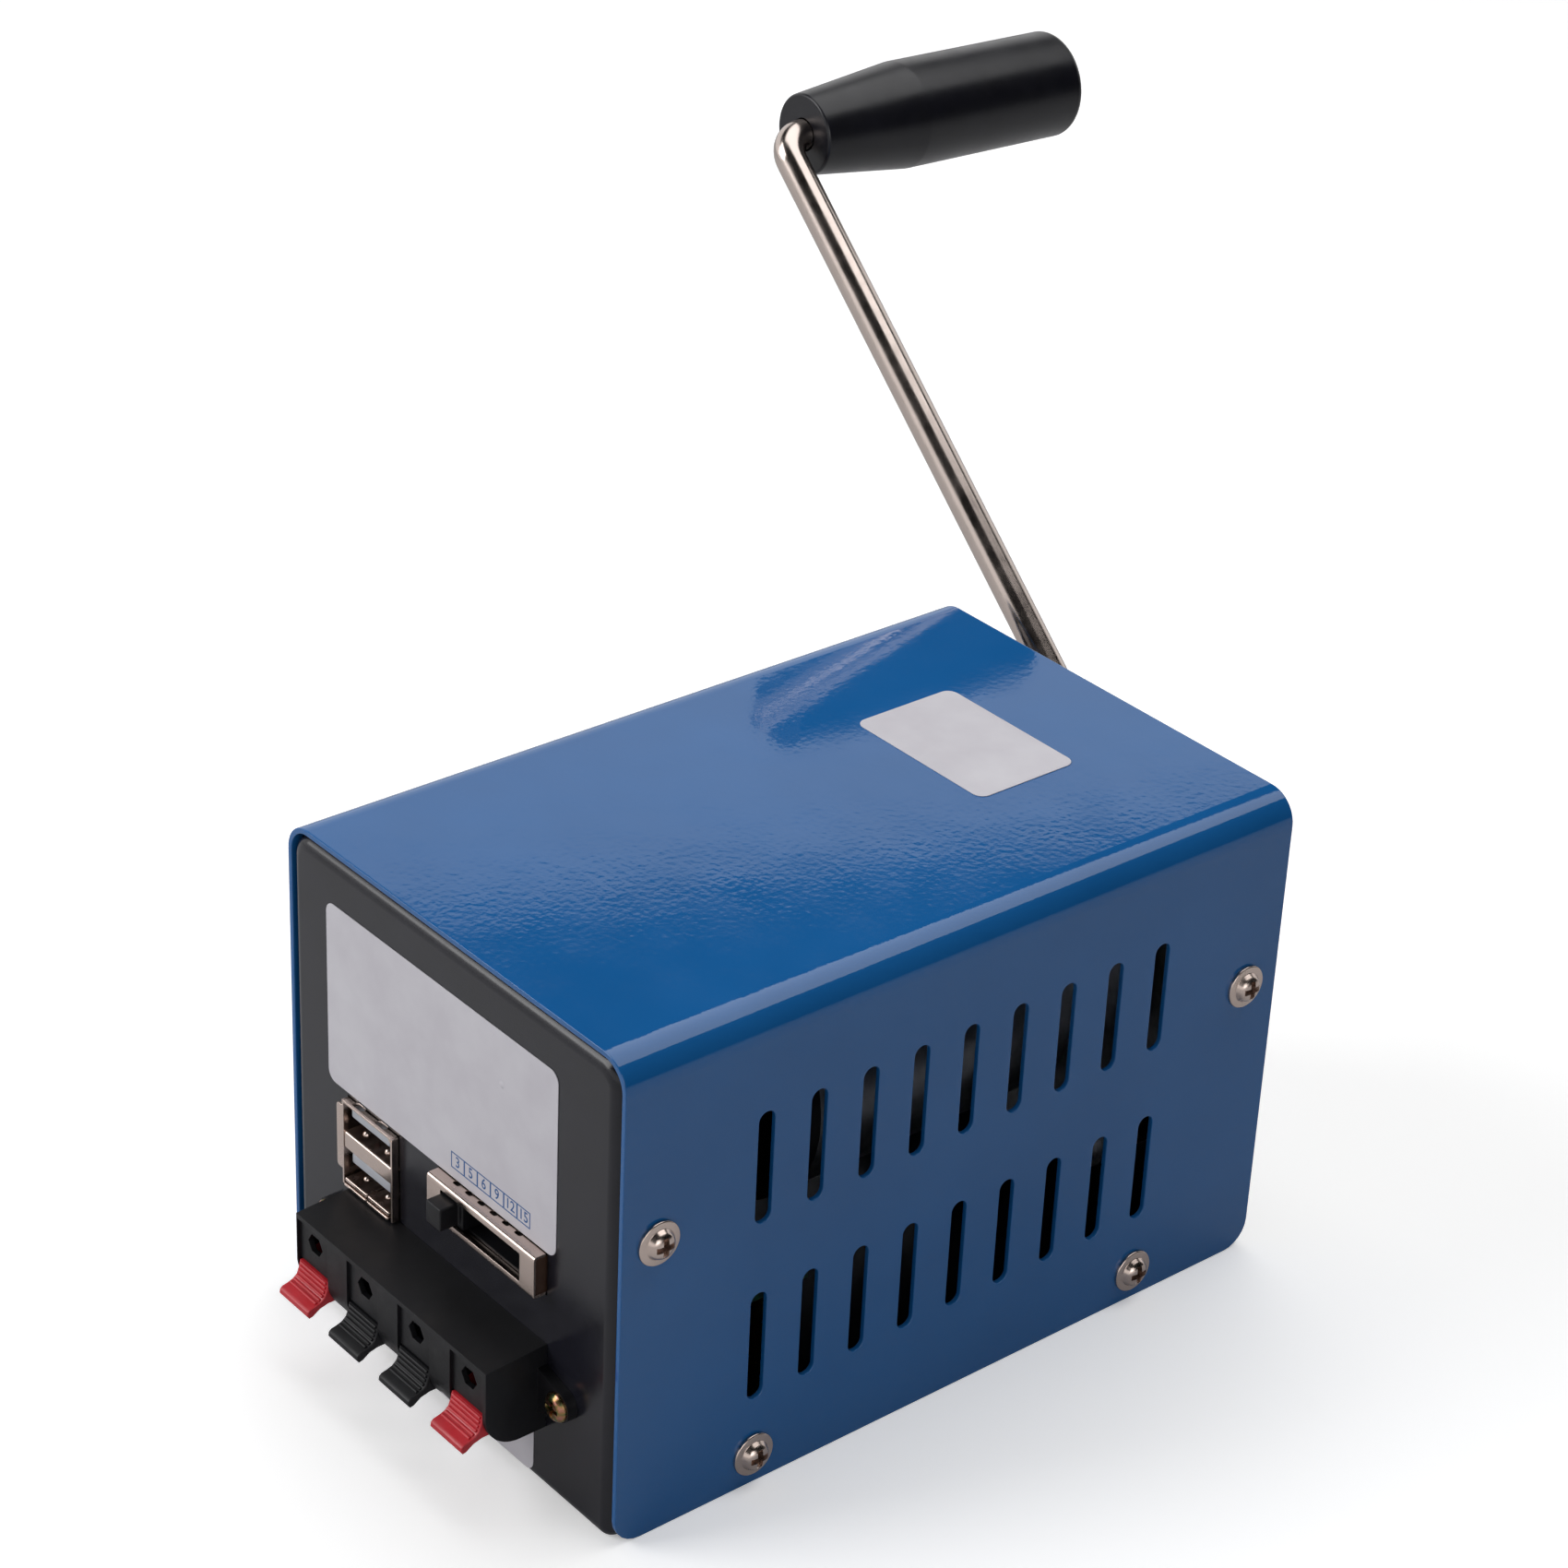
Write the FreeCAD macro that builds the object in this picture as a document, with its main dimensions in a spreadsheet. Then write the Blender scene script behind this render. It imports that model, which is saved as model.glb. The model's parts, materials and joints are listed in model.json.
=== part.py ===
import FreeCAD, Part
import math
import os

import Sketcher
from FreeCAD import Placement, Rotation, Vector

# Hand crank generator: blue cover on a black chassis, a gear train, a small dynamo,
# an output board with a double USB socket, a six-place slide switch and a four-way
# spring terminal, and a bent crank rod with a turning grip.
#
# Millimetres. +X runs to the right along the front panel, +Y from the front panel to
# the crank, +Z up. The origin is the centre of the underside.

os.makedirs("parts", exist_ok=True)
doc = FreeCAD.newDocument("hand_crank_generator")
sheet = doc.addObject("Spreadsheet::Sheet", "Sizes")


# ---------------------------------------------------------------- sizes in the sheet

class Size:
    """A length or angle: its number, and the sheet expression that it comes from."""

    def __init__(self, value, text):
        self.value = value
        self.text = text

    def __add__(self, other):
        other = as_size(other)
        return Size(self.value + other.value, f"({self.text} + {other.text})")

    def __sub__(self, other):
        other = as_size(other)
        return Size(self.value - other.value, f"({self.text} - {other.text})")

    def __mul__(self, other):
        other = as_size(other)
        return Size(self.value * other.value, f"({self.text} * {other.text})")

    def __truediv__(self, other):
        other = as_size(other)
        return Size(self.value / other.value, f"({self.text} / {other.text})")

    def __neg__(self):
        return Size(-self.value, f"(-1 * {self.text})")

    def __radd__(self, other):
        return as_size(other) + self

    def __rsub__(self, other):
        return as_size(other) - self

    def __rmul__(self, other):
        return as_size(other) * self


def as_size(number):
    if isinstance(number, Size):
        return number
    return Size(float(number), repr(float(number)))


def sine(angle):
    return Size(math.sin(math.radians(angle.value)), f"sin({angle.text})")


def cosine(angle):
    return Size(math.cos(math.radians(angle.value)), f"cos({angle.text})")


def tangent(angle):
    return Size(math.tan(math.radians(angle.value)), f"tan({angle.text})")


def square_root(number):
    return Size(math.sqrt(number.value), f"sqrt({number.text})")


sheet_rows = []


def size(alias, value, note):
    """Writes one driving dimension into the sheet and hands it back."""
    sheet_rows.append(alias)
    row = len(sheet_rows)
    sheet.set(f"A{row}", note)
    sheet.set(f"B{row}", str(value))
    sheet.setAlias(f"B{row}", alias)
    return Size(float(value), f"Sizes.{alias}")


# enclosure
box_width = size("box_width", 90, "outside width of the cover")
box_length = size("box_length", 140, "outside length of the cover")
box_height = size("box_height", 90, "height of the cover's top above the underside")
cover_sheet = size("cover_sheet", 1.0, "thickness of the cover")
cover_bend = size("cover_bend", 5.5, "outside radius of the cover's two bends")
cover_corner = size("cover_corner", 5.0, "radius of the cover's four lower corners")
chassis_sheet = size("chassis_sheet", 1.0, "thickness of the chassis")
chassis_gap = size("chassis_gap", 0.2, "gap between the chassis and the cover")
chassis_bend = size("chassis_bend", 2.5, "outside radius of the chassis's bends")
panel_setback = size("panel_setback", 0.5, "panels stand this far inside the cover's ends")
side_flange = size("side_flange", 12, "depth of the panels' side flanges")
top_flange = size("top_flange", 9, "depth of the panels' top flanges")
top_flange_half = size("top_flange_half", 32.2, "half the length of a top flange")
floor_flange = size("floor_flange", 12, "height of the floor's side flanges")
floor_flange_half = size("floor_flange_half", 51, "half the length of a floor flange")
flange_relief = size("flange_relief", 7, "side flanges end this far below the top")
flange_foot = size("flange_foot", 17, "height at which the panels' side flanges start")

# slots and screws of the cover
slot_width = size("slot_width", 3.2, "width of a slot")
slot_length = size("slot_length", 20.6, "length of a slot")
slot_pitch = size("slot_pitch", 10.44, "spacing of the slots along the side")
slot_count = size("slot_count", 9, "slots in a row")
slot_row_low = size("slot_row_low", 27.2, "height of the lower row's centre")
slot_row_gap = size("slot_row_gap", 34.0, "height between the two rows")
screw_high_inset = size("screw_high_inset", 7.6, "upper side screws, from the cover's ends")
screw_high_z = size("screw_high_z", 56.0, "upper side screws, height")
screw_low_y = size("screw_low_y", 41.8, "lower side screws, from the middle")
screw_low_z = size("screw_low_z", 6.0, "lower side screws, height")
cover_screw_flange = size("cover_screw_flange", 3.9, "radius of a cover screw's washer face")
cover_screw_dome = size("cover_screw_dome", 2.75, "radius of a cover screw's head")
cover_screw_washer = size("cover_screw_washer", 0.7, "thickness of a cover screw's washer face")
cover_screw_height = size("cover_screw_height", 1.5, "height of a cover screw's head on its washer face")
cover_screw_radius = size("cover_screw_radius", 1.5, "radius of a cover screw's shank")
hole_play = size("hole_play", 0.1, "radial play of a screw in its hole")
press_play = size("press_play", 0.02, "radial gap of a pressed or threaded fit")

# labels
label_thickness = size("label_thickness", 0.15, "thickness of the stickers")
front_label_width = size("front_label_width", 62.5, "width of the front sticker")
front_label_low = size("front_label_low", 46.7, "lower edge of the front sticker")
front_label_drop = size("front_label_drop", 9.6, "upper edge of the front sticker, from the cover's top")
front_label_x = size("front_label_x", -2.2, "centre of the front sticker")
label_corner = size("label_corner", 2.0, "corner radius of the stickers")
lower_label_left = size("lower_label_left", -35.0, "left edge of the lower sticker")
lower_label_right = size("lower_label_right", 23.9, "right edge of the lower sticker")
lower_label_low = size("lower_label_low", 3.2, "lower edge of the lower sticker")
lower_label_height = size("lower_label_height", 8.6, "height of the lower sticker")
top_label_width = size("top_label_width", 32.0, "width of the top sticker")
top_label_length = size("top_label_length", 21.4, "length of the top sticker")
top_label_y = size("top_label_y", 37.2, "centre of the top sticker along the box")
top_label_x = size("top_label_x", -0.8, "centre of the top sticker across the box")

# double USB socket
usb_x = size("usb_x", -20.7, "centre of the USB socket")
usb_width = size("usb_width", 14.4, "outside width of the USB shell")
usb_height = size("usb_height", 16.4, "outside height of the USB shell")
usb_low = size("usb_low", 29.2, "underside of the USB shell")
usb_depth = size("usb_depth", 17.8, "length of the USB shell")
usb_proud = size("usb_proud", 1.4, "USB shell in front of the panel")
usb_sheet = size("usb_sheet", 0.45, "thickness of the USB shell")
usb_sill = size("usb_sill", 1.4, "shell below the lower port's mouth")
usb_port_height = size("usb_port_height", 5.6, "height of a port's mouth")
usb_port_depth = size("usb_port_depth", 14.0, "depth of a port")
usb_tongue_width = size("usb_tongue_width", 11.0, "width of a port's tongue")
usb_tongue_thick = size("usb_tongue_thick", 1.9, "thickness of a port's tongue")
usb_tongue_drop = size("usb_tongue_drop", 0.5, "gap above a tongue")
usb_tongue_setback = size("usb_tongue_setback", 0.8, "tongue behind the shell's mouth")
usb_wing_width = size("usb_wing_width", 1.7, "width of the shell's flared left lip")
usb_wing_height = size("usb_wing_height", 12.3, "height of the shell's flared left lip")
cutout_play = size("cutout_play", 0.25, "gap around what passes through the front panel")

# slide switch
switch_x = size("switch_x", 12.25, "centre of the switch")
switch_length = size("switch_length", 28.7, "length of the switch's frame")
switch_height = size("switch_height", 7.8, "height of the switch's frame")
switch_low = size("switch_low", 38.4, "underside of the switch's frame")
switch_proud = size("switch_proud", 2.5, "switch's frame in front of the panel")
switch_depth = size("switch_depth", 8.6, "depth of the switch's frame")
switch_sheet = size("switch_sheet", 0.5, "thickness of the switch's frame")
switch_window_height = size("switch_window_height", 5.3, "height of the switch's window")
switch_step = size("switch_step", 3.4, "travel from one place to the next")
switch_places = size("switch_places", 6, "places of the switch")
switch_notch_radius = size("switch_notch_radius", 0.7, "radius of the notches at the places")
knob_width = size("knob_width", 4.0, "width of the switch's knob")
knob_height = size("knob_height", 4.2, "height of the switch's knob")
knob_proud = size("knob_proud", 2.9, "knob in front of its frame")
carriage_side = size("carriage_side", 2.0, "switch's channel beyond its window on each side")
channel_wall = size("channel_wall", 0.35, "wall above and below the slider's channel")
slide_play = size("slide_play", 0.15, "play of the switch's slider on each side")

# spring terminal
block_x = size("block_x", 0.4, "centre of the terminal block")
block_length = size("block_length", 53.2, "length of the terminal block")
block_depth = size("block_depth", 11.7, "terminal block in front of the panel")
block_top_back = size("block_top_back", 29.0, "height of the block's top at the panel")
block_top_front = size("block_top_front", 28.3, "height of the block's top at the front")
block_low = size("block_low", 12.8, "underside of the terminal block")
block_wall = size("block_wall", 1.6, "wall of the terminal block")
cell_pitch = size("cell_pitch", 14.4, "spacing of the four clamps")
cell_width = size("cell_width", 8.8, "width of a clamp's opening")
cell_margin = size("cell_margin", 0.3, "wall left of a clamp's opening")
cell_recess = size("cell_recess", 0.6, "depth of the recess around a wire hole")
wire_hole_width = size("wire_hole_width", 4.2, "width of a wire hole")
wire_hole_height = size("wire_hole_height", 3.4, "height of a wire hole")
wire_hole_z = size("wire_hole_z", 24.2, "height of the wire holes")
pivot_back = size("pivot_back", 6.7, "pivot rod behind the block's front")
pivot_radius = size("pivot_radius", 1.0, "radius of the pivot rod")
running_play = size("running_play", 0.05, "radial play of a shaft in its bearing")
lever_play = size("lever_play", 0.15, "gap on each side of a lever")
lever_hub = size("lever_hub", 2.6, "radius of a lever's hub")
lever_reach = size("lever_reach", 3.9, "lever's lip in front of the block")
lever_drop = size("lever_drop", 5.8, "lever's lip below the pivot")
block_end = size("block_end", 0.6, "wall past the pivot rod's ends")
tag_half_width = size("tag_half_width", 1.5, "half the width of a contact tag")
tag_thick = size("tag_thick", 0.8, "thickness of a contact tag")
tag_play = size("tag_play", 0.2, "gap around a contact tag")
tag_reach = size("tag_reach", 5.0, "contact tags behind the front panel")
ear_x = size("ear_x", 32.0, "terminal screws, from the block's centre")
ear_radius = size("ear_radius", 4.2, "radius of the block's ears")
ear_thickness = size("ear_thickness", 1.8, "thickness of the block's ears")
ear_z = size("ear_z", 21.0, "height of the terminal screws")
terminal_screw_head = size("terminal_screw_head", 2.9, "radius of a terminal screw's head")
terminal_screw_radius = size("terminal_screw_radius", 1.5, "radius of a terminal screw")

# crank
crank_angle = size("crank_angle", 47.2, "lean of the crank at rest, from upright to the left")
crank_length = size("crank_length", 157.0, "crank shaft axis to grip axis")
crank_offset = size("crank_offset", 17.3, "crank rod's axis behind the cover's end")
rod_radius = size("rod_radius", 3.0, "radius of the crank rod")
rod_bend = size("rod_bend", 4.8, "bend radius of the crank rod's axis")
grip_lean = size("grip_lean", 1.6, "grip's lean towards the shaft")
grip_start = size("grip_start", 5.4, "crank rod's axis to the grip's small end")
grip_small_radius = size("grip_small_radius", 7.7, "radius of the grip's small end")
grip_radius = size("grip_radius", 10.3, "radius of the grip")
grip_cone = size("grip_cone", 22.7, "length of the grip's cone")
grip_length = size("grip_length", 61.8, "length of the grip")
grip_round = size("grip_round", 1.6, "rounding of the grip's far edge")
grip_near_round = size("grip_near_round", 0.6, "rounding of the grip's near edge")
grip_pocket_radius = size("grip_pocket_radius", 6.0, "radius of the pocket in the grip's end")
grip_pocket_depth = size("grip_pocket_depth", 14.0, "depth of the pocket in the grip's end")
grip_cap_thick = size("grip_cap_thick", 3.0, "thickness of the grip's cap")
clip_radius = size("clip_radius", 4.6, "radius of the grip's retaining clip")
clip_thick = size("clip_thick", 1.2, "thickness of the grip's retaining clip")
axial_play = size("axial_play", 0.3, "end play of turning pieces")

# crank shaft and gear train
shaft_radius = size("shaft_radius", 5.0, "radius of the crank shaft")
shaft_bore_depth = size("shaft_bore_depth", 14.0, "depth of the rod's bore in the shaft")
collar_radius = size("collar_radius", 8.5, "radius of the hub collar")
set_screw_radius = size("set_screw_radius", 2.0, "radius of the hub's set screws")
bush_radius = size("bush_radius", 7.0, "outside radius of the panel bush")
bush_flange_radius = size("bush_flange_radius", 9.5, "radius of the panel bush's flange")
bush_flange_thick = size("bush_flange_thick", 1.5, "thickness of the panel bush's flange")
bush_inside = size("bush_inside", 2.0, "panel bush inside the rear plate")
gear_module = size("gear_module", 0.8, "module of all four gears")
wheel_teeth = size("wheel_teeth", 50, "teeth of the two large gears")
pinion_teeth = size("pinion_teeth", 14, "teeth of the two pinions")
gear_width = size("gear_width", 5.0, "face width of the large gears")
pinion_width = size("pinion_width", 6.5, "face width of the pinions")
tooth_play = size("tooth_play", 0.12, "backlash between meshing teeth")
pressure_angle = size("pressure_angle", 20, "pressure angle of the teeth")
tooth_addendum = size("tooth_addendum", 0.9, "tooth above the pitch circle, in modules")
tooth_dedendum = size("tooth_dedendum", 1.25, "tooth below the pitch circle, in modules")
wheel_gap = size("wheel_gap", 4.25, "gap between the intermediate wheel and the cover")
plate_thick = size("plate_thick", 2.0, "thickness of the gearbox plates")
plate_gap = size("plate_gap", 20.0, "space between the gearbox plates")
plate_side_gap = size("plate_side_gap", 0.8, "gap between the gearbox plates and the chassis, left and top")
plate_right_gap = size("plate_right_gap", 9.8, "gap between the gearbox plates and the chassis, right")
plate_foot = size("plate_foot", 4.0, "gearbox plates below the dynamo")
plate_corner = size("plate_corner", 4.0, "corner radius of the gearbox plates")
pillar_inset = size("pillar_inset", 4.0, "gearbox pillars, from the plates' edges")
pillar_radius = size("pillar_radius", 3.5, "radius of a gearbox pillar")
plate_screw_radius = size("plate_screw_radius", 1.5, "radius of a gearbox screw")
plate_screw_head = size("plate_screw_head", 2.8, "radius of a gearbox screw's head")
plate_screw_length = size("plate_screw_length", 8.0, "length of a gearbox screw")
arbor_radius = size("arbor_radius", 2.5, "radius of the intermediate arbor")

# dynamo
can_radius = size("can_radius", 23.0, "radius of the dynamo's can")
can_length = size("can_length", 56.0, "length of the dynamo's can")
can_wall = size("can_wall", 1.5, "wall of the dynamo's can")
can_end = size("can_end", 2.0, "thickness of the can's end wall")
cap_thick = size("cap_thick", 4.0, "thickness of the dynamo's end cap")
magnet_thick = size("magnet_thick", 3.2, "thickness of the magnets")
magnet_length = size("magnet_length", 40.0, "length of the magnets")
air_gap = size("air_gap", 0.6, "gap between the magnets and the rotor")
core_length = size("core_length", 34.0, "length of the rotor's core")
rotor_slots = size("rotor_slots", 8, "slots of the rotor's core")
rotor_slot_width = size("rotor_slot_width", 3.6, "width of a rotor slot")
rotor_shaft_radius = size("rotor_shaft_radius", 2.5, "radius of the rotor's shaft")
rotor_bush_radius = size("rotor_bush_radius", 5.0, "outside radius of the dynamo's bushes")
winding_overhang = size("winding_overhang", 4.0, "windings beyond each end of the core")
commutator_radius = size("commutator_radius", 6.0, "radius of the commutator")
commutator_length = size("commutator_length", 7.0, "length of the commutator")
dynamo_screw_pitch = size("dynamo_screw_pitch", 16.0, "dynamo's mounting screws, from its axis")

# boards
board_half_width = size("board_half_width", 36.0, "half the width of the main board")
board_top = size("board_top", 29.2, "top face of the main board")
board_thick = size("board_thick", 1.6, "thickness of the boards")
board_front_gap = size("board_front_gap", 2.5, "main board behind the front panel")
board_rear_gap = size("board_rear_gap", 8.5, "main board in front of the dynamo's cap")
standoff_radius = size("standoff_radius", 3.0, "radius of a standoff")
standoff_spigot = size("standoff_spigot", 2.0, "radius of the standoffs' spigots in the floor")
standoff_inset = size("standoff_inset", 4.5, "standoffs from the main board's edges")
board_screw_radius = size("board_screw_radius", 1.4, "radius of a board screw")
board_screw_head = size("board_screw_head", 2.6, "radius of a board screw's head")
switch_board_top = size("switch_board_top", 50.0, "top edge of the switch board")
switch_board_half = size("switch_board_half", 16.0, "half the width of the switch board")
part_row = size("part_row", 14.0, "capacitors and inductor, from the main board's rear edge")
capacitor_inset = size("capacitor_inset", 8.0, "outer capacitor, from the main board's side")
capacitor_pitch = size("capacitor_pitch", 13.0, "spacing of the two capacitors")
capacitor_radius = size("capacitor_radius", 6.0, "radius of a capacitor")
capacitor_height = size("capacitor_height", 18.0, "height of a capacitor")
inductor_radius = size("inductor_radius", 8.0, "radius of the inductor")
inductor_height = size("inductor_height", 7.0, "height of the inductor")
inductor_bore = size("inductor_bore", 3.6, "radius of the inductor's bore")
rectifier_width = size("rectifier_width", 15.0, "width of the rectifier")
rectifier_thick = size("rectifier_thick", 3.5, "thickness of the rectifier")
rectifier_height = size("rectifier_height", 11.0, "height of the rectifier's body")
part_inset = size("part_inset", 1.5, "rectifier in front of the main board's rear edge")
part_lift = size("part_lift", 3.0, "height of the legs under the rectifier and the regulator")
pin_width = size("pin_width", 0.8, "width of a leg")
sink_width = size("sink_width", 14.4, "width of the heat sink")
sink_depth = size("sink_depth", 9.0, "depth of the heat sink")
sink_height = size("sink_height", 22.0, "height of the heat sink")
sink_wall = size("sink_wall", 2.0, "thickness of the heat sink's wall")
fin_thick = size("fin_thick", 1.4, "thickness of a heat sink fin")
fin_count = size("fin_count", 5, "fins of the heat sink")
regulator_width = size("regulator_width", 10.0, "width of the regulator")
regulator_tab = size("regulator_tab", 1.3, "thickness of the regulator's tab")
regulator_depth = size("regulator_depth", 4.5, "depth of the regulator")
regulator_height = size("regulator_height", 9.0, "height of the regulator's package")
tab_height = size("tab_height", 15.0, "height of the regulator's tab")
leg_pitch = size("leg_pitch", 2.54, "spacing of the regulator's legs")
lead_radius = size("lead_radius", 0.8, "radius of the leads")
lead_reach = size("lead_reach", 14.0, "leads' level run behind the dynamo")
lead_half_gap = size("lead_half_gap", 10.0, "leads, from the middle")
lead_lug = size("lead_lug", 1.6, "half the width of a dynamo terminal")

doc.recompute()


# ---------------------------------------------------------------- shared helpers

sub_parts = []


def sub_part(name, piece):
    """Names a finished piece and puts it on the list of pieces that are written out."""
    piece.Label = name
    sub_parts.append(piece)
    return piece


def bind(piece, name, length):
    """Ties one property of a piece to the sheet."""
    piece.setExpression(name, as_size(length).text)


def place(piece, x=0, y=0, z=0):
    for axis, coordinate in zip("xyz", (x, y, z)):
        if isinstance(coordinate, Size):
            bind(piece, f"Placement.Base.{axis}", coordinate)


def turned_to(axis):
    """Rotation that takes +Z to the named direction."""
    directions = {
        "+X": Rotation(Vector(0, 1, 0), 90),
        "-X": Rotation(Vector(0, 1, 0), -90),
        "+Y": Rotation(Vector(1, 0, 0), -90),
        "-Y": Rotation(Vector(1, 0, 0), 90),
        "+Z": Rotation(),
        "-Z": Rotation(Vector(1, 0, 0), 180),
    }
    return directions[axis]


def box(name, x, y, z):
    """A box between two coordinates on each axis."""
    piece = doc.addObject("Part::Box", name)
    for side, (low, high) in zip(("Length", "Width", "Height"), (x, y, z)):
        bind(piece, side, as_size(high) - low)
    place(piece, as_size(x[0]), as_size(y[0]), as_size(z[0]))
    return piece


def rod(name, axis, radius, start, length):
    """A cylinder of a given length from a start point, in the direction of axis."""
    piece = doc.addObject("Part::Cylinder", name)
    piece.Placement = Placement(Vector(), turned_to(axis))
    bind(piece, "Radius", radius)
    bind(piece, "Height", length)
    place(piece, *[as_size(coordinate) for coordinate in start])
    return piece


def along_y(name, radius, x, z, low, high):
    """A cylinder along Y between two coordinates."""
    return rod(name, "+Y", radius, (x, low, z), as_size(high) - low)


def fuse(name, *pieces):
    piece = doc.addObject("Part::MultiFuse", name)
    piece.Shapes = list(pieces)
    piece.Refine = True
    return piece


def cut(name, base, *tools):
    piece = doc.addObject("Part::Cut", name)
    piece.Base = base
    piece.Tool = tools[0] if len(tools) == 1 else fuse(name + "_tools", *tools)
    return piece


def group(name, *pieces):
    """Separate solids that share one node."""
    piece = doc.addObject("Part::Compound", name)
    piece.Links = list(pieces)
    return piece


def copy_of(piece, name, axis, x, y, z):
    """A link to a piece that was made along +Z, set down at a point in a direction."""
    link = doc.addObject("App::Link", name)
    link.LinkedObject = piece
    link.Placement = Placement(Vector(), turned_to(axis))
    place(link, as_size(x), as_size(y), as_size(z))
    return link


def new_body(name):
    return doc.addObject("PartDesign::Body", name)


def new_sketch(body, role, name, offset=None):
    """A sketch on one of the body's own origin planes, or parallel to it."""
    sketch = body.newObject("Sketcher::SketchObject", name)
    planes = {item.Role: item for item in body.Origin.OriginFeatures}
    sketch.AttachmentSupport = [(planes[role], "")]
    sketch.MapMode = "FlatFace"
    if offset is not None:
        bind(sketch, "AttachmentOffset.Base.z", offset)
    return sketch


def pin_point(sketch, geometry, position, u, v):
    """Holds one point of the sketch at two sheet values."""
    for kind, length in (("DistanceX", as_size(u)), ("DistanceY", as_size(v))):
        rule = Sketcher.Constraint(kind, -1, 1, geometry, position, length.value)
        index = sketch.addConstraint(rule)
        sketch.setExpression(f"Constraints[{index}]", length.text)


def hold_radius(sketch, geometry, radius):
    index = sketch.addConstraint(Sketcher.Constraint("Radius", geometry, radius.value))
    sketch.setExpression(f"Constraints[{index}]", radius.text)


def draw_polygon(sketch, corners):
    """Straight edges between corners, each corner held at two sheet values."""
    corners = [(as_size(u), as_size(v)) for u, v in corners]
    count = len(corners)
    first = len(sketch.Geometry)
    for index, (u, v) in enumerate(corners):
        next_u, next_v = corners[(index + 1) % count]
        line = Part.LineSegment(Vector(u.value, v.value, 0), Vector(next_u.value, next_v.value, 0))
        sketch.addGeometry(line, False)
    for index in range(count):
        rule = Sketcher.Constraint("Coincident", first + index, 2, first + (index + 1) % count, 1)
        sketch.addConstraint(rule)
    for index, (u, v) in enumerate(corners):
        pin_point(sketch, first + index, 1, u, v)


def draw_rectangle(sketch, u, v):
    draw_polygon(sketch, ((u[0], v[0]), (u[1], v[0]), (u[1], v[1]), (u[0], v[1])))


def draw_circle(sketch, u, v, radius):
    u, v, radius = as_size(u), as_size(v), as_size(radius)
    circle = Part.Circle(Vector(u.value, v.value, 0), Vector(0, 0, 1), radius.value)
    geometry = sketch.addGeometry(circle, False)
    hold_radius(sketch, geometry, radius)
    pin_point(sketch, geometry, 3, u, v)


def draw_slot(sketch, u, low, high, radius):
    """An upright slot with round ends, between the centres of its two end arcs."""
    ends = ((high, 0.0, math.pi), (low, math.pi, 2 * math.pi))
    for centre, start, stop in ends:
        circle = Part.Circle(Vector(u.value, centre.value, 0), Vector(0, 0, 1), radius.value)
        sketch.addGeometry(Part.ArcOfCircle(circle, start, stop), False)
    for side in (1, -1):
        edge = u.value + side * radius.value
        line = Part.LineSegment(Vector(edge, low.value, 0), Vector(edge, high.value, 0))
        sketch.addGeometry(line, False)
    for arc, arc_end, line, line_end in ((0, 1, 2, 2), (0, 2, 3, 2), (1, 2, 2, 1), (1, 1, 3, 1)):
        sketch.addConstraint(Sketcher.Constraint("Tangent", arc, arc_end, line, line_end))
    hold_radius(sketch, 0, radius)
    pin_point(sketch, 0, 3, u, high)
    pin_point(sketch, 1, 3, u, low)


def pad(body, sketch, name, length, midplane=False, reverse=False):
    feature = body.newObject("PartDesign::Pad", name)
    feature.Profile = sketch
    bind(feature, "Length", length)
    feature.Midplane = midplane
    feature.Reversed = reverse
    return feature


def pocket(body, sketch, name, length=None, midplane=False, reverse=False):
    """A pocket of a given depth, or right through when no depth is given."""
    feature = body.newObject("PartDesign::Pocket", name)
    feature.Profile = sketch
    if length is None:
        feature.Type = "ThroughAll"
    else:
        bind(feature, "Length", length)
    feature.Midplane = midplane
    feature.Reversed = reverse
    return feature


def revolve(body, sketch, name):
    """A full turn about the sketch's upright axis."""
    feature = body.newObject("PartDesign::Revolution", name)
    feature.Profile = sketch
    feature.ReferenceAxis = (sketch, ["V_Axis"])
    feature.Angle = 360
    return feature


def round_edges(body, name, radius, wanted):
    """Rounds the edges of the body's last feature that wanted() picks."""
    doc.recompute()
    base = body.Tip
    picked = [f"Edge{index + 1}" for index, edge in enumerate(base.Shape.Edges) if wanted(edge)]
    feature = body.newObject("PartDesign::Fillet", name)
    feature.Base = (base, picked)
    bind(feature, "Radius", radius)


def repeat(body, features, name, sketch, steps):
    """Repeats features along the axes of a sketch: (axis, spacing, count) for each step."""
    pattern = body.newObject("PartDesign::MultiTransform", name)
    pattern.Originals = features
    rows = []
    for index, (axis, spacing, count) in enumerate(steps):
        row = body.newObject("PartDesign::LinearPattern", f"{name}_row_{index}")
        row.Direction = (sketch, [axis])
        bind(row, "Length", spacing * (as_size(count) - 1))
        bind(row, "Occurrences", count)
        rows.append(row)
    pattern.Transformations = rows
    body.Tip = pattern
    return pattern


def runs_along(edge, axis):
    """True for a straight edge parallel to axis 0, 1 or 2."""
    ends = [vertex.Point for vertex in edge.Vertexes]
    if len(ends) != 2 or edge.Curve.TypeId != "Part::GeomLine":
        return False
    step = ends[1] - ends[0]
    return all(abs(step[other]) < 1e-6 for other in range(3) if other != axis)


def middle(edge):
    return edge.CenterOfMass


def near(a, b):
    """Whether a coordinate lies at a place, within a hundredth of a millimetre."""
    return abs(a - as_size(b).value) < 0.01


# ---------------------------------------------------------------- shared places

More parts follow.
